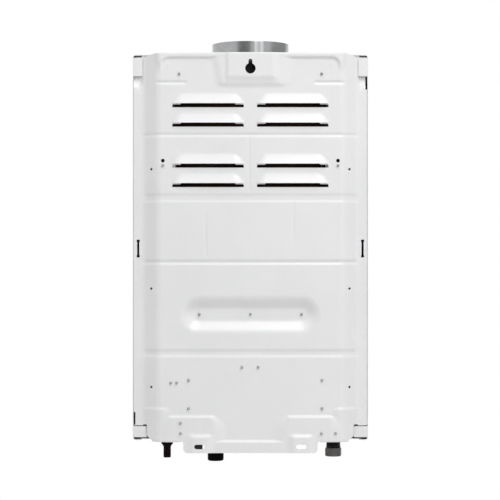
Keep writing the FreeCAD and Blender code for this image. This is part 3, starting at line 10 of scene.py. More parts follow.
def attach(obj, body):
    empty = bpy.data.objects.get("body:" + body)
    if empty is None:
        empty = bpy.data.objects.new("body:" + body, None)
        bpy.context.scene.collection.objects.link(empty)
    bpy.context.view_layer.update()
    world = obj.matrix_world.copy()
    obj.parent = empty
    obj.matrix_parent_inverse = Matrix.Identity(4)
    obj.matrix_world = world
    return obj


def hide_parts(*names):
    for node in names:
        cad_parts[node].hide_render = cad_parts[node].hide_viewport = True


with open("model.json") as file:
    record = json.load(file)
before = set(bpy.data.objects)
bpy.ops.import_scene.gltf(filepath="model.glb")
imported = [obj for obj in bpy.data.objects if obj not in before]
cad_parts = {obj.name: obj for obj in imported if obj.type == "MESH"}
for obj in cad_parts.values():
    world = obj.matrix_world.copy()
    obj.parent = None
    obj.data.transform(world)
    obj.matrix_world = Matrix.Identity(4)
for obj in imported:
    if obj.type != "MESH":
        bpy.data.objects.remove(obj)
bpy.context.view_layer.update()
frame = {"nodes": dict(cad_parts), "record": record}        # nodes, record

mm = 0.001               # the sizes in the dictionaries below are in millimetres
white = (1, 1, 1, 1)
scene = bpy.context.scene


# objects, outlines and node trees

def addObject(name, data):
    thing = bpy.data.objects.new(name, data)
    scene.collection.objects.link(thing)
    return thing


def aim(thing, place, target):
    thing.location = place
    thing.rotation_euler = (Vector(target) - Vector(place)).to_track_quat("-Z", "Y").to_euler()


def circleLoop(x, z, radius, count=24):
    turns = [2 * math.pi * i / count for i in range(count)]
    return [(x + radius * math.cos(turn), z + radius * math.sin(turn)) for turn in turns]


def bareTree(block):
    block.use_nodes = True
    block.node_tree.nodes.clear()
    return block.node_tree


def fill(tree, node, inputs):
    # an input is a value, or the socket that feeds it
    for key, value in inputs.items():
        if isinstance(value, bpy.types.NodeSocket):
            tree.links.new(value, node.inputs[key])
        else:
            node.inputs[key].default_value = value


def put(tree, kind, inputs, **settings):
    node = tree.nodes.new(kind)
    for key, value in settings.items():
        setattr(node, key, value)
    fill(tree, node, inputs)
    return node


def shade(tree, kind, inputs=None, **settings):
    return put(tree, "ShaderNode" + kind, inputs or {}, **settings)


def calc(tree, operation, *values):
    return shade(tree, "Math", dict(enumerate(values)), operation=operation).outputs[0]


def spread(tree, value, low, high, fromLow=0.0, fromHigh=1.0, **settings):
    return shade(tree, "MapRange", {"Value": value, "From Min": fromLow, "From Max": fromHigh,
                                    "To Min": low, "To Max": high}, **settings).outputs[0]


def axes(tree, place):
    return shade(tree, "SeparateXYZ", {0: place}).outputs


def objectPlace(tree):
    return shade(tree, "TexCoord").outputs["Object"]


def glow(tree, strength):
    return shade(tree, "Emission", {"Color": white, "Strength": strength}).outputs[0]


def paint(mesh, name):
    # an empty material of its own
    material = bpy.data.materials.new(name)
    mesh.materials.append(material)
    return bareTree(material)


# camera, lights and stage

view = {
    "place": (0.00056, 2.72, -0.2544),
    "lens": 139.9,
    "floorLevel": -1.25, "floorRadius": 2.3, "floorSides": 96, "floorTone": (0.86, 0.86, 0.86, 1),
    "floorFade": (0.62, 0.98), "flagTarget": (0, -0.085, -0.1),
    "paper": 1.0,        # white of the backdrop
    "ambient": 0.585,
}

lamps = [
    # name, place, target, size, power
    ("keyLamp", (-0.75, 1.75, 2.05), (0, 0, -0.22), 1.6, 51.0),
    ("frontLamp", (1.3, -2.6, 1.9), (0, 0, -0.25), 1.6, 34.0),
]

flags = [
    # name, place, width, height, tone, share of each half that fades out: cards seen in the bright metal only
    ("leftFlag", (0.56, 1.62, -0.1), 1.75, 2.4, 0.27, 0.55),
    ("rightFlag", (-1.72, -0.35, -0.1), 3.10, 2.4, 0.50, 0.45),
]


def makeCamera():
    data = bpy.data.cameras.new("camera")
    data.lens, data.sensor_width = view["lens"], 36.0
    scene.camera = addObject("camera", data)
    scene.camera.location = view["place"]
    scene.camera.rotation_euler = (math.pi / 2, 0, math.pi)


def makeLamps():
    for name, place, target, size, power in lamps:
        data = bpy.data.lights.new(name, "AREA")
        data.shape, data.size, data.energy = "SQUARE", size, power
        aim(addObject(name, data), place, target)


def makeWorld():
    # plain white wherever the backdrop shows, softer light on the object
    scene.world = bpy.data.worlds.new("studio")
    tree = bareTree(scene.world)
    path = shade(tree, "LightPath").outputs
    seen = calc(tree, "MAXIMUM", path["Is Camera Ray"], path["Is Glossy Ray"])
    seen = calc(tree, "MAXIMUM", seen, path["Is Transmission Ray"])
    level = shade(tree, "Mix", {"Factor": seen, "A": view["ambient"], "B": view["paper"]}, data_type="FLOAT")
    sky = shade(tree, "Background", {"Color": white, "Strength": level.outputs["Result"]})
    shade(tree, "OutputWorld", {"Surface": sky.outputs[0]})


def makeFloor():
    # round pale floor that fades into the backdrop at its rim
    radius, sides = view["floorRadius"], view["floorSides"]
    mesh = bpy.data.meshes.new("floor")
    mesh.from_pydata([(x, y, view["floorLevel"]) for x, y in circleLoop(0, 0, radius, sides)], [],
                     [range(sides)])
    tree = paint(mesh, "paleFloor")
    away = shade(tree, "VectorMath", {0: objectPlace(tree)}, operation="LENGTH").outputs["Value"]
    start, end = (radius * share for share in view["floorFade"])
    fade = spread(tree, away, 0.0, 1.0, start, end, interpolation_type="SMOOTHSTEP")
    matt = shade(tree, "BsdfDiffuse", {"Color": view["floorTone"], "Roughness": 0.6}).outputs[0]
    seen = calc(tree, "MULTIPLY", shade(tree, "LightPath").outputs["Is Camera Ray"], fade)
    mixed = shade(tree, "MixShader", {0: seen, 1: matt, 2: glow(tree, view["paper"])})
    shade(tree, "OutputMaterial", {"Surface": mixed.outputs[0]})
    floor = addObject("floor", mesh)


def makeFlags():
    for name, place, width, height, tone, soft in flags:
        mesh = bpy.data.meshes.new(name)
        w, h = width / 2, height / 2
        mesh.from_pydata([(-w, -h, 0), (w, -h, 0), (w, h, 0), (-w, h, 0)], [], [(0, 1, 2, 3)])
        tree = paint(mesh, name)
        across = calc(tree, "ABSOLUTE", axes(tree, objectPlace(tree))["X"])
        level = spread(tree, across, tone, view["paper"], w * (1 - soft), w, interpolation_type="SMOOTHSTEP")
        shade(tree, "OutputMaterial", {"Surface": glow(tree, level)})
        flag = addObject(name, mesh)
        aim(flag, place, view["flagTarget"])
        flag.visible_camera = flag.visible_diffuse = flag.visible_shadow = flag.visible_transmission = False


scene.view_settings.view_transform = "Standard"
makeCamera()
makeLamps()
makeWorld()
makeFloor()
makeFlags()
print("camera, lamps and floor are in place")


# shader groups

def openGroup(name, kind, sockets):
    group = bpy.data.node_groups.new(name, kind)
    for label, form, value in sockets:
        socket = group.interface.new_socket(label, in_out="INPUT", socket_type="NodeSocket" + form)
        if value is not None:
            socket.default_value = value
    return group, group.nodes.new("NodeGroupInput").outputs


def closeGroup(group, results, form="Float"):
    # one output for each result
    for label in results:
        group.interface.new_socket(label, in_out="OUTPUT", socket_type="NodeSocket" + form)
    fill(group, group.nodes.new("NodeGroupOutput"), results)
    return group


def openShaderGroup(name, *sockets):
    return openGroup(name, "ShaderNodeTree", [("Vector", "Vector", None), *sockets])


def noise(tree, vector, scale, detail, roughness=0.5, distortion=0.0):
    return shade(tree, "TexNoise", {"Vector": vector, "Scale": scale, "Detail": detail,
                                    "Roughness": roughness,
                                    "Distortion": distortion}).outputs


def cells(tree, vector, scale, feature="F1"):
    return shade(tree, "TexVoronoi", {"Vector": vector, "Scale": scale}, feature=feature).outputs


def makePaintGrain():
    # powder coat: fine orange peel, and slow drift of tone and gloss
    group, given = openShaderGroup("paintGrain", ("Peel Scale", "Float", 520.0),
                                   ("Drift Scale", "Float", 7.0))
    specks = cells(group, given["Vector"], 95.0)
    spot = spread(group, specks["Distance"], 1.0, 0.0, 0.05, 0.09)
    chance = shade(group, "SeparateColor", {"Color": specks["Color"]}).outputs["Red"]
    return closeGroup(group, {
        "Peel": noise(group, given["Vector"], given["Peel Scale"], 2.0, 0.45)["Fac"],
        "Drift": noise(group, given["Vector"], given["Drift Scale"], 4.0, 0.6)["Fac"],
        "Specks": calc(group, "MULTIPLY", spot, calc(group, "GREATER_THAN", chance, 0.93))})


def makeSpangle():
    # zinc crystals: flat cells, each a little lighter or darker, with feathered growth lines
    group, given = openShaderGroup("spangle", ("Scale", "Float", 110.0))
    bend = noise(group, given["Vector"], 60.0, 2.0)["Color"]
    shift = shade(group, "VectorMath", {0: bend, "Scale": 0.006}, operation="SCALE").outputs[0]
    moved = shade(group, "VectorMath", {0: given["Vector"], 1: shift}, operation="ADD").outputs[0]
    tone = shade(group, "SeparateColor", {"Color": cells(group, moved, given["Scale"])["Color"]}).outputs
    edge = cells(group, moved, given["Scale"], "DISTANCE_TO_EDGE")["Distance"]
    angle = calc(group, "MULTIPLY", tone["Green"], math.pi)
    turned = shade(group, "VectorRotate", {"Vector": moved, "Angle": angle},
                   rotation_type="Z_AXIS").outputs[0]
    lines = shade(group, "TexWave", {"Vector": turned, "Scale": 240.0, "Distortion": 3.0, "Detail": 2.0})
    return closeGroup(group, {"Crystal": tone["Red"], "Feather": lines.outputs["Fac"],
                              "Seam": spread(group, edge, 1.0, 0.0, 0.0, 0.06)})


def makeDrawMarks():
    # fine lines left by rolling or drawing, along one axis
    group, given = openShaderGroup("drawMarks", ("Along", "Vector", (1.0, 0.04, 1.0)),
                                   ("Scale", "Float", 900.0))
    flat = shade(group, "VectorMath", {0: given["Vector"], 1: given["Along"]},
                 operation="MULTIPLY").outputs[0]
    scuffs = noise(group, given["Vector"], 38.0, 6.0, 0.65, 1.4)["Fac"]
    return closeGroup(group, {"Lines": noise(group, flat, given["Scale"], 3.0, 0.7)["Fac"],
                              "Scuffs": spread(group, scuffs, 0.0, 1.0, 0.5, 0.72)})


def makeCastGrain():
    # sand-cast or moulded skin
    group, given = openShaderGroup("castGrain", ("Scale", "Float", 700.0))
    return closeGroup(group, {
        "Grain": noise(group, given["Vector"], given["Scale"], 4.0, 0.6)["Fac"],
        "Pits": cells(group, given["Vector"], given["Scale"], "SMOOTH_F1")["Distance"],
        "Stain": noise(group, given["Vector"], 26.0, 5.0, 0.6)["Fac"]})


paintGrain = makePaintGrain()
spangle = makeSpangle()
drawMarks = makeDrawMarks()
castGrain = makeCastGrain()


# materials

def newMaterial(name, values):
    material = bpy.data.materials.new(name)
    tree = bareTree(material)
    shader = shade(tree, "BsdfPrincipled", values)
    shade(tree, "OutputMaterial", {"Surface": shader.outputs["BSDF"]})
    return material, tree, shader, objectPlace(tree)


def useGroup(tree, group, place, **given):
    return shade(tree, "Group", {"Vector": place, **given}, node_tree=group).outputs


def mixColours(tree, factor, first, second):
    first, second = ((*colour, 1) if isinstance(colour, tuple) else colour for colour in (first, second))
    return shade(tree, "Mix", {0: factor, 6: first, 7: second}, data_type="RGBA").outputs[2]


def raised(tree, shader, height, strength, distance):
    bump = shade(tree, "Bump", {"Height": height, "Strength": strength, "Distance": distance})
    fill(tree, shader, {"Normal": bump.outputs["Normal"]})


enamel = {"colour": (0.815, 0.815, 0.82), "shade": (0.785, 0.787, 0.795), "speck": (0.55, 0.55, 0.55),
          "roughness": (0.30, 0.40), "peel": 0.10}

dials = {"pitch": 0.084, "level": -0.436, "inner": 0.0236, "short": 0.0249, "growth": 0.0005, "line": 0.00045,
         "steps": (15.0, 22.5), "ends": (4.80, 1.66), "front": -0.165, "ink": (0.13, 0.13, 0.14)}


def dialMask(tree, place):
    # short lines round each knob, longer towards its end stop; the third knob has fewer, over half a turn
    d, parts = dials, axes(tree, place)
    x = calc(tree, "WRAP", parts["X"], d["pitch"] / 2, -d["pitch"] / 2)
    z = calc(tree, "SUBTRACT", parts["Z"], d["level"])
    reach = calc(tree, "SQRT", calc(tree, "ADD", calc(tree, "MULTIPLY", x, x), calc(tree, "MULTIPLY", z, z)))
    angle = calc(tree, "ARCTAN2", x, z)
    turn = calc(tree, "WRAP", calc(tree, "ADD", angle, 0.1), 2 * math.pi, 0.0)
    turn = calc(tree, "SUBTRACT", turn, 0.1)
    third = calc(tree, "LESS_THAN", parts["X"], -d["pitch"] / 2)
    narrow, wide = (math.radians(step) for step in d["steps"])
    step = calc(tree, "MULTIPLY_ADD", third, wide - narrow, narrow)
    away = calc(tree, "MULTIPLY", calc(tree, "PINGPONG", turn, step), reach)
    mask = spread(tree, away, 1.0, 0.0, d["line"] * 0.8, d["line"])
    within = shade(tree, "Mix", {"Factor": third, "A": calc(tree, "LESS_THAN", turn, d["ends"][0]),
                                 "B": calc(tree, "LESS_THAN", calc(tree, "ABSOLUTE", angle), d["ends"][1])},
                   data_type="FLOAT").outputs["Result"]
    beyond = calc(tree, "GREATER_THAN", reach, d["inner"])
    short = calc(tree, "LESS_THAN", reach, calc(tree, "MULTIPLY_ADD", turn, d["growth"], d["short"]))
    front = calc(tree, "LESS_THAN", parts["Y"], d["front"])
    inRow = calc(tree, "LESS_THAN", calc(tree, "ABSOLUTE", parts["X"]), 1.5 * d["pitch"])
    for other in (within, beyond, short, front, inRow):
        mask = calc(tree, "MULTIPLY", mask, other)
    return mask


def makeEnamel(name, printed):
    material, tree, shader, place = newMaterial(name,
                                                {"Coat Weight": 0.18, "Coat Roughness": 0.16, "IOR": 1.5})
    grain = useGroup(tree, paintGrain, place)
    base = mixColours(tree, spread(tree, grain["Drift"], 0.0, 1.0, 0.35, 0.65), enamel["shade"],
                      enamel["colour"])
    base = mixColours(tree, spread(tree, grain["Specks"], 0.0, 0.25), base, enamel["speck"])
    if printed:
        base = mixColours(tree, dialMask(tree, place), base, dials["ink"])
    fill(tree, shader, {"Base Color": base, "Roughness": spread(tree, grain["Drift"], *enamel["roughness"])})
    raised(tree, shader, grain["Peel"], enamel["peel"], 0.0003)
    return material


# zinc colours; the seam colour, with its seam lines, bands and fade, paints a highlight on the collar's lap
zinc = {"light": (0.40, 0.405, 0.41), "dark": (0.355, 0.36, 0.365), "scuff": (0.56, 0.56, 0.57),
        "burnished": (0.62, 0.62, 0.63), "seams": (-0.0080, -0.0164), "middle": -0.0122, "behind": -0.045,
        "lapEdge": (0.0008, 0.0045), "lapHalf": (0.0055, 0.0075), "fade": 0.004}


def makeZinc():
    material, tree, shader, place = newMaterial("galvanisedSteel", {"Metallic": 0.92})
    crystal = useGroup(tree, spangle, place)
    marks = useGroup(tree, drawMarks, place)
    tone = calc(tree, "ADD", crystal["Crystal"], spread(tree, crystal["Feather"], 0.0, 0.35))
    base = mixColours(tree, spread(tree, tone, 0.0, 1.0, 0.1, 1.3), zinc["dark"], zinc["light"])
    base = mixColours(tree, spread(tree, marks["Scuffs"], 0.0, 0.12), base, zinc["scuff"])
    # painted highlight: a brighter strip along the collar's lap seam, on the half that faces the camera only
    parts = axes(tree, place)
    bands = [calc(tree, "ABSOLUTE", calc(tree, "ADD", parts["X"], -x)) for x in (*zinc["seams"],
                                                                                 zinc["middle"])]
    near = calc(tree, "ADD", calc(tree, "MINIMUM", *bands[:2]), spread(tree, marks["Lines"], -0.002, 0.002))
    near = spread(tree, near, 1.0, 0.25, *zinc["lapEdge"])
    within = spread(tree, bands[2], 1.0, 0.0, *zinc["lapHalf"])
    behind = spread(tree, parts["Y"], 0.0, 1.0, zinc["behind"] - zinc["fade"], zinc["behind"])
    # mask of the painted highlight: close to the seam lines, within the lap, on the side towards the camera
    seam = calc(tree, "MULTIPLY", near, calc(tree, "MULTIPLY", behind, within))
    fill(tree, shader, {"Base Color": mixColours(tree, seam, base, zinc["burnished"]),
                        "Roughness": spread(tree, tone, 0.17, 0.24, 0.0, 1.3)})
    raised(tree, shader, crystal["Seam"], 0.04, 0.0002)
    return material


copperTones = {"bright": (0.30, 0.13, 0.075), "brown": (0.10, 0.042, 0.028), "soot": (0.025, 0.017, 0.015)}


def makeCopper():
    material, tree, shader, place = newMaterial("heatTintedCopper", {"Metallic": 0.7})
    marks = useGroup(tree, drawMarks, place, Along=(0.1, 1.0, 1.0), Scale=420.0)
    stain = useGroup(tree, castGrain, place, Scale=300.0)["Stain"]
    base = mixColours(tree, spread(tree, stain, 0.0, 1.0, 0.38, 0.62), copperTones["brown"],
                      copperTones["bright"])
    base = mixColours(tree, spread(tree, marks["Scuffs"], 0.0, 0.5), base, copperTones["soot"])
    fill(tree, shader, {"Base Color": base, "Roughness": spread(tree, stain, 0.30, 0.55, 0.3, 0.7)})
    raised(tree, shader, marks["Lines"], 0.15, 0.0002)
    return material


def makeTurnedMetal(name, bright, dull, roughness, along, metallic=1.0):
    # bar and sheet metal with fine tool marks
    material, tree, shader, place = newMaterial(name, {"Metallic": metallic})
    marks = useGroup(tree, drawMarks, place, Along=along)
    wear = calc(tree, "MULTIPLY", marks["Scuffs"], useGroup(tree, castGrain, place)["Stain"])
    fill(tree, shader, {"Base Color": mixColours(tree, spread(tree, wear, 0.0, 1.0, 0.0, 0.6), bright, dull),
                        "Roughness": spread(tree, marks["Lines"], *roughness, 0.3, 0.7)})
    raised(tree, shader, marks["Lines"], 0.10, 0.00015)
    return material


def makeCastMetal(name, bright, dull, roughness):
    material, tree, shader, place = newMaterial(name, {"Metallic": 0.95})
    cast = useGroup(tree, castGrain, place)
    fill(tree, shader, {"Base Color": mixColours(tree, spread(tree, cast["Stain"], 0.0, 1.0, 0.35, 0.7),
                                                 bright, dull),
                        "Roughness": spread(tree, cast["Grain"], *roughness, 0.3, 0.7)})
    raised(tree, shader, cast["Grain"], 0.35, 0.0003)
    return material


def makePlastic(name, colour, dusty, roughness, grainScale=900.0, relief=0.18, specular=0.45):
    # moulded plastic with a fine spark-eroded texture
    material, tree, shader, place = newMaterial(name, {"IOR": 1.48, "Specular IOR Level": specular})
    cast = useGroup(tree, castGrain, place, Scale=grainScale)
    dust = spread(tree, useGroup(tree, drawMarks, place)["Scuffs"], 0.0, 0.35)
    fill(tree, shader, {"Base Color": mixColours(tree, dust, colour, dusty),
                        "Roughness": spread(tree, cast["Stain"], *roughness, 0.3, 0.7)})
    raised(tree, shader, cast["Grain"], relief, 0.00012)
    return material


def makePane(name, tint, opening):
    # clear sheet with a black printed border round its opening: half width, half height, level, border
    half, high, level, border = (size * mm for size in opening)
    material, tree, shader, place = newMaterial(name, {"IOR": 1.52, "Transmission Weight": 0.92})
    scuffs = useGroup(tree, drawMarks, place, Along=(1.0, 1.0, 1.0), Scale=60.0)["Scuffs"]
    parts = axes(tree, place)
    across = calc(tree, "SUBTRACT", calc(tree, "ABSOLUTE", parts["X"]), half - border)
    up = calc(tree, "ABSOLUTE", calc(tree, "SUBTRACT", parts["Z"], level))
    up = calc(tree, "SUBTRACT", up, high - border)
    edge = spread(tree, calc(tree, "MAXIMUM", across, up), 0.0, 1.0, -0.0001, 0.0001)
    fill(tree, shader, {"Base Color": mixColours(tree, edge, tint, (0.006, 0.006, 0.006)),
                        "Roughness": spread(tree, scuffs, 0.0, 0.08)})
    return material


def makePointerPaint():
    material, tree, shader, place = newMaterial("pointerPaint", {"Roughness": 0.45})
    cast = useGroup(tree, castGrain, place)
    stain = spread(tree, cast["Stain"], 0.0, 1.0, 0.3, 0.7)
    fill(tree, shader, {"Base Color": mixColours(tree, stain, (0.78, 0.78, 0.76), (0.66, 0.66, 0.64))})
    raised(tree, shader, cast["Grain"], 0.2, 0.0001)
    return material


finishes = {
    "white_enamel": makeEnamel("whiteEnamel", False),
    "galvanised": makeZinc(),
    "copper": makeCopper(),
    "brass": makeTurnedMetal("turnedBrass", (0.74, 0.53, 0.24), (0.42, 0.27, 0.11), (0.22, 0.40),
                             (1, 1, 0.08)),
    "alloy": makeCastMetal("castAlloy", (0.62, 0.62, 0.63), (0.40, 0.40, 0.41), (0.38, 0.60)),
    "stainless": makeTurnedMetal("stainlessSteel", (0.60, 0.60, 0.60), (0.42, 0.41, 0.40), (0.22, 0.38),
                                 (0.06, 1, 1)),
    "screw_steel": makeTurnedMetal("platedSteel", (0.66, 0.67, 0.69), (0.40, 0.40, 0.41), (0.25, 0.45),
                                   (1, 1, 1)),
    "black_plastic": makePlastic("blackPlastic", (0.004, 0.004, 0.0045), (0.014, 0.014, 0.015), (0.40, 0.55),
                                 specular=0.2),
    "dark_red_plastic": makePlastic("darkRedPlastic", (0.014, 0.002, 0.003), (0.028, 0.008, 0.010),
                                    (0.34, 0.48),
                                    specular=0.2),
    "grey_plastic": makePlastic("greyPlastic", (0.115, 0.12, 0.13), (0.20, 0.20, 0.21), (0.40, 0.55)),
    "ceramic": makePlastic("glazedCeramic", (0.78, 0.75, 0.68), (0.60, 0.55, 0.47), (0.12, 0.25), 300.0,
                           0.05),
    "rubber": makePlastic("blackRubber", (0.014, 0.014, 0.014), (0.06, 0.06, 0.058), (0.60, 0.80), 500.0,
                          0.4),
    "clear_pane": makePane("smokedPane", (0.66, 0.68, 0.67), (26.0, 12.0, -388.0, 3.2)),
    "battery_case": makePlastic("batteryCan", (0.035, 0.05, 0.09), (0.10, 0.11, 0.13), (0.22, 0.35), 200.0,
                                0.05),
    "dull_steel": makeTurnedMetal("phosphatedSteel", (0.115, 0.113, 0.108), (0.055, 0.053, 0.050),
                                  (0.35, 0.55),
                                  (1, 1, 0.1), 0.85),
}
crystalInk = makePlastic("displaySegments", (0.035, 0.04, 0.035), (0.05, 0.055, 0.05), (0.18, 0.26), 300.0,
                         0.04)
darkSteel = makeTurnedMetal("darkSteel", (0.46, 0.46, 0.47), (0.20, 0.20, 0.20), (0.30, 0.50), (1, 1, 1))
pointerPaint = makePointerPaint()
# near-black copper for the combustion chamber and exchanger shell: painted shade, as dark as the inside of the
# case seen through the louvres
paintedShadeCopper = makeTurnedMetal("sootedCopper", (0.045, 0.022, 0.014), (0.014, 0.011, 0.010), (0.5, 0.7),
                         (1, 1, 0.2), 0.6)

bodyOf = {node: body for body, nodes in frame["record"]["behaviour"]["bodies"].items() for node in nodes}
slotOf = {part["node"]: part["material_slot"] for part in frame["record"]["subparts"]}
finishOf = {node: finishes[slotOf[node]] for node in frame["nodes"]}
finishOf.update({
    # pieces that differ from others in their slot
    "front_cover": makeEnamel("printedEnamel", True),
    "chassis_screws": darkSteel,
    # painted shade on the combustion chamber and exchanger shell
    "exchanger_shell": paintedShadeCopper,
    "combustion_chamber": paintedShadeCopper,
    # painted shade: the draft hood is made near black, like the inside of the case behind the louvres
    "draft_hood": makeTurnedMetal("agedZinc", (0.12, 0.12, 0.12), (0.05, 0.05, 0.05), (0.5, 0.7), (1, 1, 0.2),
                                  0.8),
    # painted shade: the hot outlet's threaded end is made near black, as it sits in the shadow under the case
    "hot_outlet": makeTurnedMetal("blackenedSteel", (0.020, 0.019, 0.018), (0.010, 0.010, 0.010),
                                  (0.40, 0.60),
                                  (1, 1, 0.1), 0.7),
    "gas_inlet_cap": makePlastic("sealRubber", (0.0025, 0.0024, 0.0024), (0.004, 0.004, 0.004), (0.55, 0.72),
                                 specular=0.03),
    "drain_plug": makePlastic("drainPlastic", (0.006, 0.0025, 0.0028), (0.009, 0.004, 0.0045), (0.5, 0.65),
                              specular=0.05),
    "sight_glass": makePane("clearPane", (0.82, 0.83, 0.80), (29.0, 7.0, -292.0, 1.4)),
    "display_board": makePlastic("displayGlass", (0.21, 0.23, 0.20), (0.24, 0.26, 0.23), (0.18, 0.26), 300.0,
                                 0.04),
})
for node, piece in frame["nodes"].items():
    piece.data.materials.clear()
    piece.data.materials.append(finishOf[node])
print("finishes are on the frame's own pieces")


# meshes

@contextmanager
def editing(mesh):
    form = bmesh.new()
    form.from_mesh(mesh)
    yield form
    form.to_mesh(mesh)
    form.free()


def meshFrom(name, points, faces):
    # points in millimetres
    mesh = bpy.data.meshes.new(name)
    mesh.from_pydata([tuple(v * mm for v in p) for p in points], [], [tuple(f) for f in faces])
    mesh.validate()
    return mesh


def cleaned(mesh, dist=2e-6):
    with editing(mesh) as form:
        bmesh.ops.remove_doubles(form, verts=form.verts, dist=dist)
        bmesh.ops.dissolve_degenerate(form, edges=form.edges, dist=dist)
        bmesh.ops.recalc_face_normals(form, faces=form.faces)
    return mesh


def joined(name, meshes):
    whole = bpy.data.meshes.new(name)
    with editing(whole) as form:
        for mesh in meshes:
            form.from_mesh(mesh)
    return whole


def stacked(name, levels):
    # closed skin over a row of outlines that have the same number of points
    count = len(levels[0])
    faces = [(r * count + i, r * count + (i + 1) % count, (r + 1) * count + (i + 1) % count,
              (r + 1) * count + i)
             for r in range(len(levels) - 1) for i in range(count)]
    faces += [range(count), range((len(levels) - 1) * count, len(levels) * count)]
    return cleaned(meshFrom(name, [place for level in levels for place in level], faces))


def softShade(mesh, sharpAngle):
    # smooth faces, with a crisp edge wherever two faces meet at more than the angle
    with editing(mesh) as form:
        for polygon in form.faces:
            polygon.smooth = True
        for edge in form.edges:
            edge.smooth = len(edge.link_faces) == 2 and edge.calc_face_angle(0.0) < math.radians(sharpAngle)


def workedIn(piece):
    # the piece's mesh with its modifiers worked in; the piece itself goes
    bpy.context.view_layer.update()
    mesh = bpy.data.meshes.new_from_object(piece.evaluated_get(bpy.context.evaluated_depsgraph_get()))
    bpy.data.objects.remove(piece)
    return mesh


def modified(mesh, *changes):
    # the mesh with modifiers worked in, each given as its kind and its settings
    piece = addObject("worked", mesh)
    for kind, settings in changes:
        change = piece.modifiers.new(kind.lower(), kind)
        for key, value in settings.items():
            setattr(change, key, value)
    return workedIn(piece)


def thickened(mesh, thickness, offset=-1.0):
    # gives a sheet its wall
    return modified(mesh,
                    ("SOLIDIFY", {"thickness": thickness * mm, "offset": offset, "use_even_offset": True}))


def evenNormals(mesh):
    # keeps large flat faces flat beside small rounded ones
    return modified(mesh, ("WEIGHTED_NORMAL", {"keep_sharp": True, "weight": 90}))


def carved(mesh, cutters):
    # cuts every cutter mesh out of the first one
    tools = [addObject("cutter", cutter) for cutter in cutters]
    result = modified(mesh, *[("BOOLEAN", {"object": tool, "solver": "EXACT"}) for tool in tools])
    for tool in tools:
        bpy.data.objects.remove(tool)
    return result


def addPiece(name, mesh, body, replaced, material):
    mesh.materials.clear()
    mesh.materials.append(material)
    piece = addObject(name, mesh)
    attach(piece, body)
    if replaced:
        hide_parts(*replaced)
    return piece


pieceNames = {"back_plate": "rearPanel", "gas_inlet_cap": "gasCap", "electrodes": "electrodeRods",
              "batteries": "batteryCans", "membrane": "membraneBody", "microswitch": "microswitchBody"}


def finished(node, mesh, sharp, even=False):
    # takes the place of the frame's own piece, on the same body and with its slot's finish
    softShade(mesh, sharp)
    if even:
        mesh = evenNormals(mesh)
    first, *others = node.split("_")
    name = pieceNames.get(node) or first + "".join(word.capitalize() for word in others)
    return addPiece(name, mesh, bodyOf[node], [node], finishOf[node])


# pressed sheet with cut openings

def softRamp(value, radius):
    # 0 below, value above, rounded over the radius
    bend = (value + radius) ** 2 / (4 * radius)
    return np.where(value < -radius, 0.0, np.where(value > radius, value, bend))


def softMax(a, b, radius):
    overlap = np.maximum(radius - np.abs(a - b), 0.0) / radius
    return np.maximum(a, b) + overlap ** 2 * radius / 4


def unit(value):
    return np.clip(value, 0, 1)


def eased(value):
    share = unit(value)
    return share * share * (3 - 2 * share)


def rectangleDistance(x, z, spanX, spanZ, corner):
    # distance outside a rectangle with round corners, negative inside
    offX = np.abs(x - (spanX[0] + spanX[1]) / 2) - (spanX[1] - spanX[0]) / 2 + corner
    offZ = np.abs(z - (spanZ[0] + spanZ[1]) / 2) - (spanZ[1] - spanZ[0]) / 2 + corner
    outside = np.hypot(np.maximum(offX, 0.0), np.maximum(offZ, 0.0))
    return outside + np.minimum(np.maximum(offX, offZ), 0.0) - corner


def slotLoop(x, z, length, width, count=8):
    # round-ended slot along x
    run = (length - width) / 2
    turns = [-math.pi / 2 + math.pi * i / count for i in range(count + 1)]
    return [(x + side * (run + width / 2 * math.cos(turn)), z + side * width / 2 * math.sin(turn))
            for side in (1, -1) for turn in turns]


def roundedLoop(corners, radius, count=4):
    # polygon with each corner rounded by an arc
    loop = []
    for i, corner in enumerate(corners):
        here = Vector(corner)
        before = Vector(corners[i - 1]) - here
        after = Vector(corners[(i + 1) % len(corners)]) - here
        turn = before.angle(after)
        reach = min(radius / math.tan(turn / 2), before.length * 0.45, after.length * 0.45)
        bend = reach * math.tan(turn / 2)
        middle = here + (before.normalized() + after.normalized()).normalized() * (bend / math.sin(turn / 2))
        start = here + before.normalized() * reach - middle
        end = here + after.normalized() * reach - middle
        for k in range(count + 1):
            point = start.lerp(end, k / count).normalized() * bend + middle
            loop.append((point.x, point.y))
    return loop


def arc(x, y, radius, start, end, count):
    return [(x + radius * math.cos(a), y + radius * math.sin(a)) for a in np.linspace(start, end, count)]


def edgesOf(loop):
    return zip(loop, loop[1:] + loop[:1])


def insideLoop(points, loop):
    x, z = points[:, 0], points[:, 1]
    inside = np.zeros(len(points), bool)
    for (x0, z0), (x1, z1) in edgesOf(loop):
        if z0 != z1:
            inside ^= ((z0 > z) != (z1 > z)) & (x < (x1 - x0) * (z - z0) / (z1 - z0) + x0)
    return inside


def spacedLines(anchors, zones, fine, coarse=11.0, growth=0.35):
    # lines through every anchor, closer together inside the zones
    anchors = sorted({round(a, 4) for a in anchors})
    lines = []
    for low, high in zip(anchors, anchors[1:]):
        steps = [low]
        while steps[-1] < high - 1e-6:
            away = min(max(a - steps[-1], steps[-1] - b, 0.0) for a, b in zones)
            steps.append(steps[-1] + min(coarse, fine + growth * away))
        if len(steps) > 2 and steps[-1] - high > high - steps[-2]:
            steps.pop()
        scale = (high - low) / (steps[-1] - low)
        lines += [low + (s - low) * scale for s in steps[:-1]]
    return np.array(lines + [anchors[-1]])


def cellAt(lines, values):
    return np.clip(np.searchsorted(lines, values) - 1, 0, len(lines) - 2)


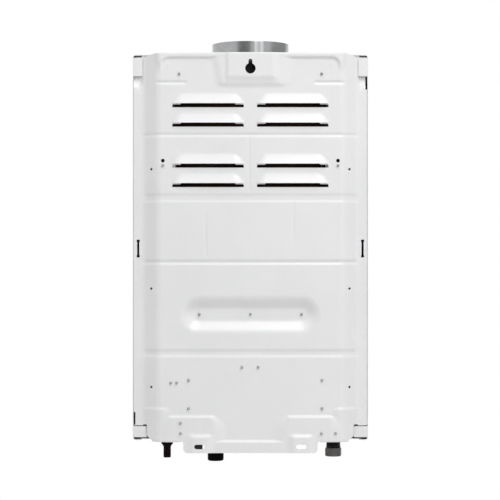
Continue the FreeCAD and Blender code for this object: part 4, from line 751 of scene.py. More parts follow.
def pressedSheet(linesX, linesZ, outline, holes, levelAt):
    # quads where the sheet is whole, and fitted triangles along its cut edges
    cellsX, cellsZ = len(linesX) - 1, len(linesZ) - 1
    cut = np.zeros((cellsX, cellsZ), bool)
    for loop in [outline] + holes:
        for (x0, z0), (x1, z1) in edgesOf(loop):
            share = np.linspace(0, 1, max(2, int(math.hypot(x1 - x0, z1 - z0) / 0.3)))
            for nudge in (-0.02, 0.02):      # an edge along a line touches the cells on both its sides
                cut[cellAt(linesX, x0 + (x1 - x0) * share + nudge),
                    cellAt(linesZ, z0 + (z1 - z0) * share + nudge)] = True
    middles = np.meshgrid((linesX[1:] + linesX[:-1]) / 2, (linesZ[1:] + linesZ[:-1]) / 2, indexing="ij")

    def solidAt(points):
        kept = insideLoop(points, outline)
        for hole in holes:
            low, high = np.min(hole, axis=0), np.max(hole, axis=0)
            near = kept & np.all((points > low) & (points < high), axis=1)
            kept[near] = ~insideLoop(points[near], hole)
        return kept
    whole = solidAt(np.column_stack([m.ravel() for m in middles])).reshape(cellsX, cellsZ) & ~cut
    index = -np.ones((cellsX + 1, cellsZ + 1), int)
    flat, faces = [], []
    corners = ((0, 0), (1, 0), (1, 1), (0, 1))
    for i, j in zip(*np.nonzero(whole)):
        for di, dj in corners:
            if index[i + di, j + dj] < 0:
                index[i + di, j + dj] = len(flat)
                flat.append((linesX[i + di], linesZ[j + dj]))
        faces.append([index[i + di, j + dj] for di, dj in corners])
    # the cells that a cut edge crosses are triangulated together
    fitted, numbers, edges = [], {}, []
    for i, j in zip(*np.nonzero(cut)):
        for di, dj in corners:
            if (i + di, j + dj) not in numbers:
                numbers[i + di, j + dj] = len(fitted)
                fitted.append((linesX[i + di], linesZ[j + dj]))
    gridPlaces = list(numbers)
    for i, j in zip(*np.nonzero(cut)):
        for k, (ni, nj) in enumerate(((0, -1), (1, 0), (0, 1), (-1, 0))):
            if not (0 <= i + ni < cellsX and 0 <= j + nj < cellsZ and cut[i + ni, j + nj]):
                edges.append(tuple(numbers[i + di, j + dj] for di, dj in (corners[k], corners[k - 3])))
    for loop in [outline] + holes:
        start = len(fitted)
        fitted += loop
        edges += [(start + k, start + (k + 1) % len(loop)) for k in range(len(loop))]
    result = geometry.delaunay_2d_cdt([Vector(p) for p in fitted], edges, [], 0, 1e-5)
    places, triangles, origins = result[0], result[2], result[3]
    tri = np.array([[places[k].x, places[k].y] for t in triangles for k in t]).reshape(-1, 3, 2)
    centres = tri.mean(axis=1)
    across, up = tri[:, 1] - tri[:, 0], tri[:, 2] - tri[:, 0]
    area = across[:, 0] * up[:, 1] - across[:, 1] * up[:, 0]
    inCut = cut[cellAt(linesX, centres[:, 0]), cellAt(linesZ, centres[:, 1])]
    linked = {}
    for t in np.nonzero(inCut & solidAt(centres) & (np.abs(area) > 1e-7))[0]:
        order = list(triangles[t])[::1 if area[t] > 0 else -1]
        for k in order:
            if k not in linked:
                onGrid = [n for n in origins[k] if n < len(gridPlaces)]
                place = gridPlaces[onGrid[0]] if onGrid else None
                if place and index[place] >= 0:
                    linked[k] = index[place]
                else:
                    linked[k] = len(flat)
                    flat.append((places[k].x, places[k].y))
                    if place:
                        index[place] = linked[k]
        if len({linked[k] for k in order}) == 3:
            faces.append([linked[k] for k in order])
    flat = np.array(flat)
    return np.column_stack([flat[:, 0], levelAt(flat[:, 0], flat[:, 1]),
                            flat[:, 1]]), [f[::-1] for f in faces]


def turnEdges(form, edges, radius, reach, heading, steps=4):
    # turns an edge of a sheet inwards; heading is where it runs before the bend
    inwards = Vector((0, -1, 0))
    for k in range(steps + 1):
        made = bmesh.ops.extrude_edge_only(form, edges=edges)["geom"]
        move = inwards * (reach - radius)
        if k < steps:
            before, after = math.pi / 2 * k / steps, math.pi / 2 * (k + 1) / steps
            move = (heading * (math.sin(after) - math.sin(before)) +
                    inwards * (math.cos(before) - math.cos(after))) * radius
        for vertex in (v for v in made if isinstance(v, bmesh.types.BMVert)):
            vertex.co += move
        edges = [e for e in made if isinstance(e, bmesh.types.BMEdge) and len(e.link_faces) == 1 and
                 all(v in made for v in e.verts)]


rearPanel = {
    "sheet": 1.0, "top": 22.8, "bottom": -524.0, "field": -6.0, "flange": -22.0,
    "fieldHalf": 129.8, "slopeFoot": 150.5, "bendSoftness": 5.0,
    "grooves": [(-92.7, 5.0, 1.25), (-181.2, 11.0, 1.1), (-271.5, 6.5, 1.55), (-399.3, 10.0, 1.45)],
    "grooveWall": 2.9, "grooveShare": (0.42, 0.56), "shortGroove": (-19.2, 5.6, 1.3, 89.0, 134.0),
    "joggle": (-36.0, 150.0, 0.65, -13.0, 3.2), "notch": (2.4, 18.0, -501.0, -28.0),
    "footDraft": (6.0, 24.0, 3.2),
    "shoulder": (134.0, 13.0, -475.6, 1.7, 22.0), "lipStep": (44.0, -523.8, 3.0),
    "rim": (123.0, 14.4, -3.0, 136.0), "block": (46.0, -19.4), "blockTaper": (5.5, 14.0, 30.0),
    "pad": (31.7, -10.8), "draft": 3.0, "dent": (0.7, 2.6),
    "louvreX": 59.4, "louvreWidth": 101.3, "lips": [-48.4, -75.6, -133.1, -160.4],
    "louvreHeight": 14.5, "louvreRise": 4.8, "louvreInset": 10.5, "louvreEnd": 8.0,
    "slot": 5.7, "slotEnd": 3.9, "slotEndLength": 11.0,
    "pocket": (-345.0, 72.0, 23.4, 9.4, 8.8),
    "beads": [(1.5, -97.0, -173.0), (63.0, -201.0, -264.0), (-60.5, -189.0, -240.0)],
    "beadWidth": 2.4, "beadDepth": 0.7,
    "foot": (52.5, 113.0, -488.4, -3.0), "slotPad": (71.25, 11.0, -517.2),
    "lip": (94.2, -539.0, 6.0), "lipSlot": (71.25, -530.2, 14.8, 6.4),
    "keyhole": (7.3, 5.5, 13.3), "hook": (158.3, -252.3, 12.5, 1.5, 2.2, 3.0),
    "vents": (139.5, [-140.7, -308.7, -447.2], 1.75), "dowels": (122.9, -129.0, 2.6), "screwHole": 1.95,
    "cornerHalf": 137.0, "cornerCut": 7.0, "flangeTop": 18.5, "flangeBottom": -501.8, "edge": 164.7,
    "lowTab": 145.7, "turnedEdge": 20.0, "turnRadius": 1.8, "mitreHeight": 9.0,
    "fine": (1.58, 1.42), "finePocket": 27,
    "fineX": [(7, 27), (30, 36), (46, 59), (82, 98), (89, 120), (124, 136), (144, 154), (156, 161)],
    "fineZ": [(8, 21), (-20, -9), (-37, -12), (-480, -473), (-493, -486), (-541, -513)],
}

screwPlaces = ([(side * x, z) for x, z in ((100.0, -7.3), (122.9, -136.0)) for side in (-1, 1)] +
               [(-72.0, -345.0), (0.0, -345.0), (72.0, -345.0), (12.0, -418.8), (-11.0, -418.8),
                (112.0, -441.0), (103.5, -441.0), (-100.4, -437.2), (-100.4, -477.0), (87.0, -437.2),
                (87.0, -477.0), (98.2, -497.3), (98.2, -511.7), (-99.5, -511.7), (-119.3, -511.7)])
blindScrewPlaces = [(-115.0, 5.6), (115.0, 5.6)]        # these stop short of the panel and only mark it


def panelLevel(x, z):
    # how far each point of the pressed panel stands, measured towards the wall
    p, side = rearPanel, np.abs(x)
    field, draft = p["field"], p["draft"]
    slope = (field - p["flange"]) / (p["slopeFoot"] - p["fieldHalf"])
    level = field - slope * softRamp(side - p["fieldHalf"], p["bendSoftness"])
    most, reach = p["grooveShare"]
    for centre, width, depth in p["grooves"]:
        wall = min(most * width, p["grooveWall"])
        level = level - depth * (1 - unit(softRamp(np.abs(z - centre) - (reach * width - wall), 0.7) / wall))
    centre, width, depth, inner, outer = p["shortGroove"]
    above = softRamp(z - centre - width * 0.2, 0.4) / (width * 0.25)
    below = softRamp(centre - z - width * 0.02, 0.4) / (width * 0.6)
    level = level - depth * (1 - unit(above + below)) * unit((side - inner) / 3.0) * unit((outer - side) / 5.0)
    for centre, top, bottom in p["beads"]:
        away = rectangleDistance(x, z, (centre - 0.4, centre + 0.4), (bottom, top), 0.3)
        level = level - p["beadDepth"] * (1 - unit(away / (p["beadWidth"] / 2)))
    level = softMax(level, p["flange"] + 0 * x, 3.0)
    # soft shoulders above the feet, and the drop behind the cover's corner tabs
    centre, half, top, height, run = p["shoulder"]
    across = 1 - unit(softRamp(np.abs(side - centre) - half, 3.0) / (6.0 + np.maximum(top - z, 0.0)))
    level = level + height * across ** 2 * unit((top - z) / 2.6) * unit(1 - (top - 2.6 - z) / run)
    start, nearX, rise, end, drop = p["joggle"]
    start = start + np.maximum(side - nearX, 0.0) * rise
    level = level - drop * eased(unit((z - start) / (end - start)) * unit((side - nearX - 0.5) / 5.0))
    # raised rim and hanging pad
    half, bottom, rim, outer = p["rim"]
    away = unit(rectangleDistance(x, z, (-half, half), (-700.0, bottom), 9.0) / draft)
    level = level + (rim - field) * eased(away * unit((z + 6.0) / 18.0) * unit((outer - side) / 9.0))
    height, reach = p["dent"]
    for dentX, dentZ in blindScrewPlaces:
        level = level + height * eased(1 - np.hypot(x - dentX, z - dentZ) / reach)
    half, bottom = p["block"]
    taper, start, run = p["blockTaper"]
    across = softRamp(side - half + taper * np.clip((start - z) / run, 0, 1.2), 3.0) / np.where(x < 0, 15.0,
                                                                                                8.0)
    level = softMax(level, rim - 3.0 * np.hypot(across, softRamp(bottom - z, 2.0) / 6.0), 1.2)
    half, bottom = p["pad"]
    across = softRamp(side - half, 1.4) / np.where(x < 0, 2.6 * draft, draft)
    level = softMax(level, -3.0 * np.hypot(across, softRamp(bottom - z, 2.0) / (draft + 4.0)), 1.4)
    # louvre hoods
    half, height = p["louvreWidth"] / 2, p["louvreHeight"]
    for centre in (-p["louvreX"], p["louvreX"]):
        out = np.abs(x - centre)
        for lip in p["lips"]:
            down = unit((lip + height - z) / height)
            end = unit((half - p["louvreInset"] * (1 - down) - out) / p["louvreEnd"])
            hood = p["louvreRise"] * down ** 1.15 * np.sin(end * math.pi / 2) ** 0.8
            here = (z > lip - 0.001) & (z < lip + height) & (out < half)
            level = np.where(here, softMax(level, field + hood, 0.5), level)
    # feet
    inner, outer, top, foot = p["foot"]
    slotX, slotHalf, slotTop = p["slotPad"]
    wide, widest, steep = p["footDraft"]
    wide = wide + np.clip(1.3 * (top - z), 0, widest - wide)       # the sides flatten out as they go down
    out = np.maximum(softRamp(np.abs(side - (inner + outer) / 2) - (outer - inner) / 2 + 2.0, 2.0) / wide,
                     0.0)
    level = level + (foot - field) * eased(1 - np.hypot(out, np.maximum(z - top + 1.0, 0.0) / steep))
    half, top, height = p["lipStep"]
    step = field + height * unit((top + 2.6 - z) / 2.6)
    level = np.where((z < top + 3.0) & (side < half + 12), softMax(level, step, 0.6), level)
    beside = softRamp(np.abs(side - slotX) - slotHalf, 1.5) / 8.0
    level = softMax(level, -3.2 * np.hypot(beside, softRamp(z - slotTop, 1.2) / 5.0), 1.2)
    # long pocket
    height, half, radius, floor, depth = p["pocket"]
    away = np.hypot(np.maximum(side - half, 0.0), z - height)
    wall = field - depth + softRamp(away - floor, 3.0) * depth / (radius - floor)
    return -softMax(-level, -wall, 3.0)


def panelOutline():
    p = rearPanel
    top, low = p["top"] - p["turnRadius"], p["bottom"] + p["turnRadius"]
    foot, high, cut, tab, edge = p["slopeFoot"], p["flangeTop"], p["cornerCut"], p["lowTab"], p["edge"]
    lipHalf, lipEnd, lipRound = p["lip"]
    width, length, lowStart, highStart = p["notch"]
    half = [(p["cornerHalf"], top), (p["cornerHalf"] + cut, top - 0.8), (foot - 2.4, p["top"] - cut * 0.6),
            (foot - 0.3, high - 3.6), (foot + 1.4, high - 3.6), (foot + 1.8, high + 1.1),
            (foot + 3.6, high + 1.1),
            (foot + 4.4, high), (edge - 3, high), (edge, high - 3)]
    under = [(edge, p["flangeBottom"]), (foot + 0.8, p["flangeBottom"]),
             (foot + 0.8, p["flangeBottom"] + 1.5),
             (tab, p["flangeBottom"] + 1.5), (tab, p["bottom"] + cut + 1), (tab - cut, low),
             (lipHalf + 3.0, low),
             (lipHalf, low - 3.0), (lipHalf, lipEnd + lipRound * 0.75),
             (lipHalf - lipRound * 0.25, lipEnd + lipRound * 0.25), (lipHalf - lipRound * 0.75, lipEnd)]
    right, left = (half + [(edge, start + length), (edge - width, start + length), (edge - width, start),
                           (edge, start)] + under for start in (lowStart, highStart))
    return roundedLoop(right + [(-x, z) for x, z in reversed(left)], 1.6, 3)


def louvreSlotLoop(centre, lip):
    p = rearPanel
    half = p["louvreWidth"] / 2 - 0.5
    shoulder = half - p["slotEndLength"]
    low, drop = lip - p["slot"], lip - p["slot"] + p["slotEnd"]
    right = [(half, low), (half, drop - 1), (half - 1, drop), (shoulder, drop), (shoulder - 2.5, lip)]
    return [(centre + x, z) for x, z in [(-half, low)] + right + [(-x, z) for x, z in right[:0:-1]]]


def keyholeLoop():
    radius, neck, top = rearPanel["keyhole"]
    half = neck / 2
    start = math.acos(half / radius)
    return arc(0, 0, radius, math.pi - start, 2 * math.pi + start, 40) + arc(0, top - half, half, 0, math.pi,
                                                                             10)


def panelHoles():
    p = rearPanel
    hookX, hookZ, long, thin, wide, end = p["hook"]
    short = long - end
    hook = [(-wide, -long), (wide, -long), (wide, -short), (thin, -short), (thin, short), (wide, short),
            (wide, long),
            (-wide, long), (-wide, short), (-thin, short), (-thin, -short), (-wide, -short)]
    slotX, slotZ, length, width = p["lipSlot"]
    ventX, heights, radius = p["vents"]
    dowelX, dowelZ, dowel = p["dowels"]
    holes = [keyholeLoop()]
    for side in (-1, 1):
        holes += [louvreSlotLoop(side * p["louvreX"], lip) for lip in p["lips"]]
        holes.append(slotLoop(side * slotX, slotZ, length, width))
        holes.append([(side * hookX + x, hookZ + z) for x, z in hook])
        holes += [circleLoop(side * ventX, z, radius, 16) for z in heights]
        holes.append(circleLoop(side * dowelX, dowelZ, dowel, 20))
    return holes + [circleLoop(x, z, p["screwHole"], 14) for x, z in screwPlaces]


def makeRearPanel():
    p = rearPanel
    top, low = p["top"] - p["turnRadius"], p["bottom"] + p["turnRadius"]
    louvreEnds = [s * (p["louvreX"] + t * (p["louvreWidth"] / 2 - 0.5)) for s in (-1, 1) for t in (-1, 1)]
    anchorsX = [0.0,
                *louvreEnds] + [s * v for s in (-1, 1) for v in (p["edge"], p["lip"][0], p["cornerHalf"])]
    zonesX = [(-1, 4)] + [(x - 2,
                           x + 2) for x, _, _ in p["beads"]] + p["fineX"] + [(-b, -a) for a, b in p["fineX"]]
    anchorsZ = [top, p["lip"][1], low]
    zonesZ = p["fineZ"] + [(c - w / 2 - 1, c + w / 2 + 1) for c, w, _ in p["grooves"]]
    for lip in p["lips"]:
        anchorsZ += [lip, lip - p["slot"], lip - p["slot"] + p["slotEnd"], lip + p["louvreHeight"]]
        zonesZ.append((lip - 6, lip + p["louvreHeight"]))
    zonesZ.append((p["pocket"][0] - p["finePocket"], p["pocket"][0] + p["finePocket"]))
    linesX = spacedLines(anchorsX, zonesX, p["fine"][0])
    linesZ = spacedLines(anchorsZ, zonesZ, p["fine"][1])
    mesh = meshFrom("rearPanel", *pressedSheet(linesX, linesZ, panelOutline(), panelHoles(), panelLevel))
    with editing(mesh) as form:
        bmesh.ops.remove_doubles(form, verts=form.verts, dist=1e-6)
        for level, heading, near, far in ((top, 1, 0, p["cornerHalf"]),
                                          (low, -1, p["lip"][0] + 3.0, p["lowTab"] - p["cornerCut"])):
            chosen = [e for e in form.edges if len(e.link_faces) == 1 and
                      all(abs(v.co.z - level * mm) < 2e-5 and near * mm - 1e-5 < abs(v.co.x) < far * mm + 1e-5
                          for v in e.verts)]
            turnEdges(form, chosen, p["turnRadius"] * mm, p["turnedEdge"] * mm, Vector((0, 0, heading)))
    solid = thickened(mesh, p["sheet"])
    places = np.array([vertex.co for vertex in solid.vertices], float)
    # the wall's mitre is trimmed where the lip meets the fold
    below = places[:, 2] < (p["bottom"] + p["mitreHeight"]) * mm
    level = panelLevel(places[below, 0] / mm, places[below, 2] / mm) * mm
    places[below, 1] = np.minimum(places[below, 1], level)
    solid.vertices.foreach_set("co", places.ravel())
    finished("back_plate", solid, 48)
    print("rear panel", len(linesX), "x", len(linesZ), "lines,", len(solid.polygons), "faces")


makeRearPanel()


# turned, threaded and drawn pieces

def lathe(name, profile, centre, axis=(0, 0, 1), count=48, shape=None):
    # turns (radius, height) points round an axis; an outline that starts on the axis also ends there.
    # shape may change the radius with height and angle
    axis = Vector(axis).normalized()
    across = axis.orthogonal().normalized() if abs(axis.z) < 0.9 else Vector((1, 0, 0))
    third = axis.cross(across)
    points, faces, rows = [], [], len(profile)
    for k in range(count):
        angle, n = 2 * math.pi * k / count, (k + 1) % count
        out = across * math.cos(angle) + third * math.sin(angle)
        for radius, height in profile:
            reach = shape(radius, height, angle) if shape else radius
            points.append(Vector(centre) + axis * height + out * reach)
        for i in range(rows if profile[0][0] else rows - 1):
            j = (i + 1) % rows
            faces.append((k * rows + i, n * rows + i, n * rows + j, k * rows + j))
    return cleaned(meshFrom(name, points, faces))


def drill(place, radius, depth, count, axis=(0, 0, 1)):
    return lathe("drill", [(0, 0), (radius, 0), (radius, depth), (0, depth)], place, axis, count)


def threadedProfile(profile, low, high, pitch, steps):
    # adds rows between two heights of an outline's outer wall, so that a thread can be cut in them
    rows = []
    for (r0, h0), (r1, h1) in edgesOf(profile):
        rows.append((r0, h0))
        if abs(r0 - r1) < 0.01 and abs(min(h0, h1) - low) < 0.01 and abs(max(h0, h1) - high) < 0.01:
            count = int((high - low) / pitch * steps)
            rows += [(r0, h0 + (h1 - h0) * k / count) for k in range(1, count)]
    return rows


def threadShape(outer, low, high, pitch, depth):
    # helical thread on the wall of one radius
    def reach(radius, height, angle):
        if abs(radius - outer) > 0.01 or not low < height < high:
            return radius
        phase = (height / pitch - angle / (2 * math.pi)) % 1.0
        runOut = min(1.0, (height - low) / pitch, (high - height) / pitch)
        return radius - depth * runOut * (1 - abs(2 * phase - 1))
    return reach


def hexagonShape(flats, low, high, turn=0.0, chamfer=0.3):
    # hexagonal wall, its corners cut back by a cone at both ends
    corner = flats / math.sqrt(3)

    def reach(radius, level, angle):
        if abs(radius - corner) > 0.01:
            return radius
        local = (angle - math.radians(turn)) % (math.pi / 3) - math.pi / 6
        cone = flats / 2 - chamfer + min(level - low, high - level) * 1.6
        return min(flats / 2 / math.cos(local), cone, corner - 0.15)
    return reach


def hexagonBar(place, height, flats, axis=(0, 0, 1)):
    rows = [0.0, 0.6, 1.2, height - 1.2, height - 0.6, height]
    profile = [(0, 0)] + [(flats / math.sqrt(3), h) for h in rows] + [(0, height)]
    return lathe("hexagon", profile, place, axis, 72, hexagonShape(flats, 0, height))


def boxMesh(name, low, high, bevel=0.0, segments=2, drawn=False):
    # block with rounded edges; a deep-drawn one is rounded at its front and its corners, and square behind
    mesh = bpy.data.meshes.new(name)
    with editing(mesh) as form:
        bmesh.ops.create_cube(form, size=1.0)
        for vertex in form.verts:
            vertex.co = [((a + b) / 2 + c * (b - a)) * mm for a, b, c in zip(low, high, vertex.co)]
        if bevel:
            front = low[1] * mm + 1e-6
            edges = [e for e in form.edges if not drawn or min(v.co.y for v in e.verts) < front]
            bmesh.ops.bevel(form, geom=edges, offset=bevel * mm, segments=segments, affect="EDGES",
                            profile=0.5,
                            clamp_overlap=drawn)
    return mesh


def rectangle(lowX, lowZ, highX, highZ):
    return [(lowX, lowZ), (highX, lowZ), (highX, highZ), (lowX, highZ)]


cover = {
    "half": 166.0, "top": 20.9, "bottom": -522.5, "front": -172.0, "edge": -21.0, "sheet": 1.0, "radius": 4.0,
    "tab": (13.8, 16.9, 26.0), "lowTab": (20.0, -502.8, 15.6), "hook": (160.6, -261.0, -243.6), "bend": 1.6,
    "gusset": (147.6, 152.8, 12.0, 20.2),
    "recess": (132.0, -468.0, -364.0, 2.0), "knobs": (84.0, -436.0, 6.5),
    "window": (-388.0, 52.0, 24.0), "sight": (-292.0, 58.0, 14.0),
    "flue": (-85.0, 57.0), "bottomOpening": (144.0, -146.0), "relief": (153.6, -51.0),
    "screws": (149.5, -60.0, 2.0),
    "vents": (5, -500.0, 9.0, 3.5, -140.0, 60.0),
}


def foldedTab(side, width, low, high):
    # corner return folded in from the cover's rear edge, with a small bend radius
    half, edge, sheet, bend = cover["half"], cover["edge"], cover["sheet"], cover["bend"]
    outside = [(half, edge - 3.0), *arc(half - bend, edge - bend, bend, 0, math.pi / 2, 5),
               (half - width, edge),
               (half - width, edge - sheet), *arc(half - bend, edge - bend, bend - sheet, math.pi / 2, 0, 4),
               (half - sheet, edge - 3.0)]
    return stacked("tab", [[(side * x, y, z) for x, y in outside] for z in (low, high)])


def makeCover():
    c = cover
    half, front, bottom, sheet = c["half"], c["front"], c["bottom"], c["sheet"]

    def form(inset, extra):
        # the drawn shape with the front's recess taken out
        wide, low, high, depth = c["recess"]
        block = boxMesh("cover", (-half + inset, front + inset, bottom + inset),
                        (half - inset, c["edge"] + extra, c["top"] - inset), c["radius"] - inset, 6, True)
        levels = ((front - 3, 2.6), (front + inset, 2.0), (front + inset + depth, 0.0))
        return carved(block, [stacked("recess", [
            [(x, y, z) for x, z in roundedLoop(rectangle(-wide - m, low - m, wide + m, high + m), 9.0, 6)]
            for y, m in levels])])
    outer = form(0, 0)
    cutters = [form(sheet, 8.0), drill((0, c["flue"][0], 0), c["flue"][1], 40, 64)]
    for (wide, near), depth in ((c["bottomOpening"], 5), (c["relief"], 3)):
        cutters.append(boxMesh("opening", (-wide, near, bottom - 3), (wide, c["edge"] + 5, bottom + depth)))
    for level, width, height in (c["window"], c["sight"]):
        cutters.append(boxMesh("opening", (-width / 2, front - 5, level - height / 2),
                               (width / 2, front + 9, level + height / 2)))
    pitch, level, radius = c["knobs"]
    cutters += [drill((x, front - 6, level), radius, 20, 24, (0, 1, 0)) for x in (-pitch, 0, pitch)]
    x, y, radius = c["screws"]
    count, low, pitch, height, near, length = c["vents"]
    for side in (-1, 1):
        cutters.append(drill((side * x, y, bottom - 4), radius, 9, 16))
        wall = side * half
        for z in (low + i * pitch for i in range(count)):
            cutters.append(boxMesh("vent", (wall - 4, near, z), (wall + 4, near + length, z + height), 1.2))
    parts = [carved(outer, cutters)]
    for side in (-1, 1):
        parts += [foldedTab(side, width, top - height, top) for width, top, height in (c["tab"], c["lowTab"])]
        for (near, far, low, high), y in ((c["gusset"], -23.5),
                                          ((c["hook"][0], half - 0.3, *c["hook"][1:]), -27.4)):
            near, far = sorted((side * near, side * far))
            parts.append(boxMesh("plate", (near, y, low), (far, y + 1, high), 0.2))
    piece = finished("front_cover", joined("frontCover", parts), 32, even=True)
    print("front cover,", len(piece.data.polygons), "faces")


makeCover()

collar = {
    "centre": (0.0, -85.0, 0.0), "radius": 55.0, "sheet": 0.9, "low": 12.0, "flange": 8.0, "shoulder": 1.0,
    "stop": 23.1, "top": 41.7, "seamAt": 1.689, "seamWidth": 0.10, "seamRise": 0.45, "lip": 0.45,
    "sides": 288,
}


def makeCollar():
    c = collar
    radius, sheet, low, stop, top = c["radius"], c["sheet"], c["low"], c["stop"], c["top"]
    foot, rim = radius + c["shoulder"], radius + c["flange"]
    profile = [(rim, low), (rim, low + sheet), (foot + 1.2, low + sheet), (foot, low + sheet + 1.2),
               (foot, stop - 1.2), (radius, stop), (radius, stop + 4), (radius, top - 4.6),
               (radius - 0.2, top - 4.2),
               (radius - 0.2, top - 3.4), (radius, top - 3.0),
               *arc(radius - c["lip"], top - c["lip"], c["lip"], 0, math.pi, 7),
               (radius - sheet, top - 4.2), (radius - sheet, stop), (foot - sheet, stop - 1.2),
               (foot - sheet, low)]

    def seam(reach, height, angle):
        # the wall's end laps over its start
        away = (angle - c["seamAt"]) % (2 * math.pi)
        if height < low + 2 or reach < radius - 0.3 or reach > foot + 0.1 or away > c["seamWidth"]:
            return reach
        return reach - c["seamRise"] * (1 - away / c["seamWidth"])
    finished("flue_collar", lathe("flueCollar", profile, c["centre"], count=c["sides"], shape=seam), 30,
             even=True)


makeCollar()

fittings = {
    "y": -85.0, "thread": 10.48, "pitch": 1.81, "depth": 0.95, "bore": 7.68, "shoulder": 11.28,
    "step": -524.5,
    "pipes": [("cold_inlet", 79.0, -516.5, -544.0), ("gas_inlet", 50.1, -516.5, -556.3),
              ("hot_outlet", -119.6, -508.5, -539.0)],
    "nut": (-119.6, -539.3, 12.3, 22.0, 20.0, 9.25, 9.0),
    "cap": (50.1, 10.53, 1.0, -558.2, 18.0, 1.6, 2.6),
    "drain": (120.1, 8.5, 5.35, -553.6, -534.7, -527.7, 4.0, -514.2, 6, 1.5, 0.7),
}


def makePipeEnds():
    f = fittings
    for node, x, top, end in f["pipes"]:
        low, high = end + 1.0, f["step"]
        profile = [(f["bore"], end), (f["thread"] - 1.0, end), (f["thread"], low), (f["thread"], high),
                   (f["shoulder"], high), (f["shoulder"], top), (f["bore"], top)]
        thread = threadShape(f["thread"], low, high, f["pitch"], f["depth"])
        rows = threadedProfile(profile, low, high, f["pitch"], 10)
        finished(node, lathe(node, rows, (x, f["y"], 0), count=64, shape=thread), 50)


def makeNut(x, top, height, flats, turn, bore, boreDepth):
    # hexagon with both ends chamfered by a cone, and a short threaded socket
    low, through = top - height, fittings["bore"]
    rows = (0.0, 0.7, 1.5, 2.5, 4.0, height - 2.6, height - 1.6, height - 0.8, height)
    deep = low + boreDepth
    profile = [(flats / math.sqrt(3), low + h) for h in rows] + [
        (through, top), (through, deep), (bore, deep), (bore, deep - 0.5), (bore, low + 0.8),
        (bore + 0.7, low)]
    shape = hexagonShape(flats, low, top, turn, 0.25)
    finished("hot_outlet_nut", lathe("nut", profile, (x, fittings["y"], 0), count=96, shape=shape), 22)


def makeCap(x, inner, wall, low, height, floor, bend):
    outer, high = inner + wall, low + height
    profile = [(0, low), (outer - bend, low), *arc(outer - bend, low + bend, bend, 0.15 - math.pi / 2,
                                                   1.57 - math.pi / 2, 7)]
    profile += [(outer, high - 3.2), (outer - 0.3, high - 2.9), (outer - 0.3, high - 2.4),
                (outer, high - 2.1),
                (outer, high - 0.5), (outer - 0.3, high), (inner, high), (inner, low + floor + 1.0),
                (inner - 1.0, low + floor), (0, low + floor)]
    finished("gas_inlet_cap", lathe("gasCap", profile, (x, fittings["y"], 0), count=72), 35)


def makeDrain(x, head, stem, end, headLow, headTop, thread, threadTop, flutes, pitch, depth):
    profile = [(0, end), (stem - 1.2, end), (stem - 0.3, end + 0.4), (stem, end + 1.4), (stem, headLow - 3.2),
               (stem + 0.5, headLow - 2.4), (head - 1.2, headLow - 0.2), (head - 0.4, headLow + 0.3),
               (head, headLow + 1.2), (head, headTop - 0.8), (head - 0.6, headTop), (thread, headTop),
               (thread, threadTop), (0, threadTop)]
    cut = threadShape(thread, headTop, threadTop, pitch, depth)

    def fluted(radius, level, angle):
        if radius > stem + 0.6 and level < headTop - 0.01:
            wave = max(0.0, math.cos(angle * flutes)) ** 3
            return radius - wave * (radius - stem - 0.6) / (head - stem - 0.6)
        return cut(radius, level, angle)
    rows = threadedProfile(profile, headTop, threadTop, pitch, 8)
    finished("drain_plug", lathe("drainPlug", rows, (x, fittings["y"], 0), count=96, shape=fluted), 40)


makePipeEnds()
makeNut(*fittings["nut"])
makeCap(*fittings["cap"])
makeDrain(*fittings["drain"])
print("collar and fittings are made")


# pieces that repeat are set out by one node tree

def makeSetOut():
    # puts a copy of a piece on every point of a mesh, each turned by its own angle
    tree, given = openGroup("setOut", "GeometryNodeTree", [
        ("Points", "Geometry", None), ("Piece", "Object", None), ("Axis", "Vector", (0, 1, 0)),
        ("Turn", "Float", 0.0), ("Seed", "Int", 7), ("Material", "Material", None)])
    info = put(tree, "GeometryNodeObjectInfo", {"Object": given["Piece"]}, transform_space="ORIGINAL")
    low = calc(tree, "MULTIPLY", given["Turn"], -1.0)
    chance = put(tree, "FunctionNodeRandomValue", {2: low, 3: given["Turn"], "Seed": given["Seed"]},
                 data_type="FLOAT")
    turned = put(tree, "FunctionNodeAxisAngleToRotation", {"Axis": given["Axis"], "Angle": chance.outputs[1]})
    copies = put(tree, "GeometryNodeInstanceOnPoints", {
        "Points": given["Points"], "Instance": info.outputs["Geometry"], "Rotation": turned.outputs[0]})
    real = put(tree, "GeometryNodeRealizeInstances", {"Geometry": copies.outputs[0]})
    done = put(tree, "GeometryNodeSetMaterial", {"Geometry": real.outputs[0], "Material": given["Material"]})
    return closeGroup(tree, {"Pieces": done.outputs[0]}, "Geometry")


setOut = makeSetOut()
setOutSockets = {socket.name: socket.identifier for socket in setOut.interface.items_tree}


def repeated(mesh, places, material, turn=0.0, axis=(0, 1, 0), seed=7):
    # one mesh with a copy of the given one at each place
    single = addObject("single", mesh)
    points = addObject("points", meshFrom("points", places, []))
    nodes = points.modifiers.new("setOut", "NODES")
    nodes.node_group = setOut
    for label, value in (("Piece", single), ("Turn", turn), ("Seed", seed), ("Material", material)):
        nodes[setOutSockets[label]] = value
    for i in range(3):
        nodes[setOutSockets["Axis"]][i] = float(axis[i])
    result = workedIn(points)
    bpy.data.objects.remove(single)
    return result


screws = {"shank": 1.88, "root": 1.6, "head": 3.6, "headHeight": 2.2, "pitch": 1.4, "reach": 4.0,
          "sheets": 2.5, "blind": -1.9, "shortest": 4.5, "coverLength": 6.0}


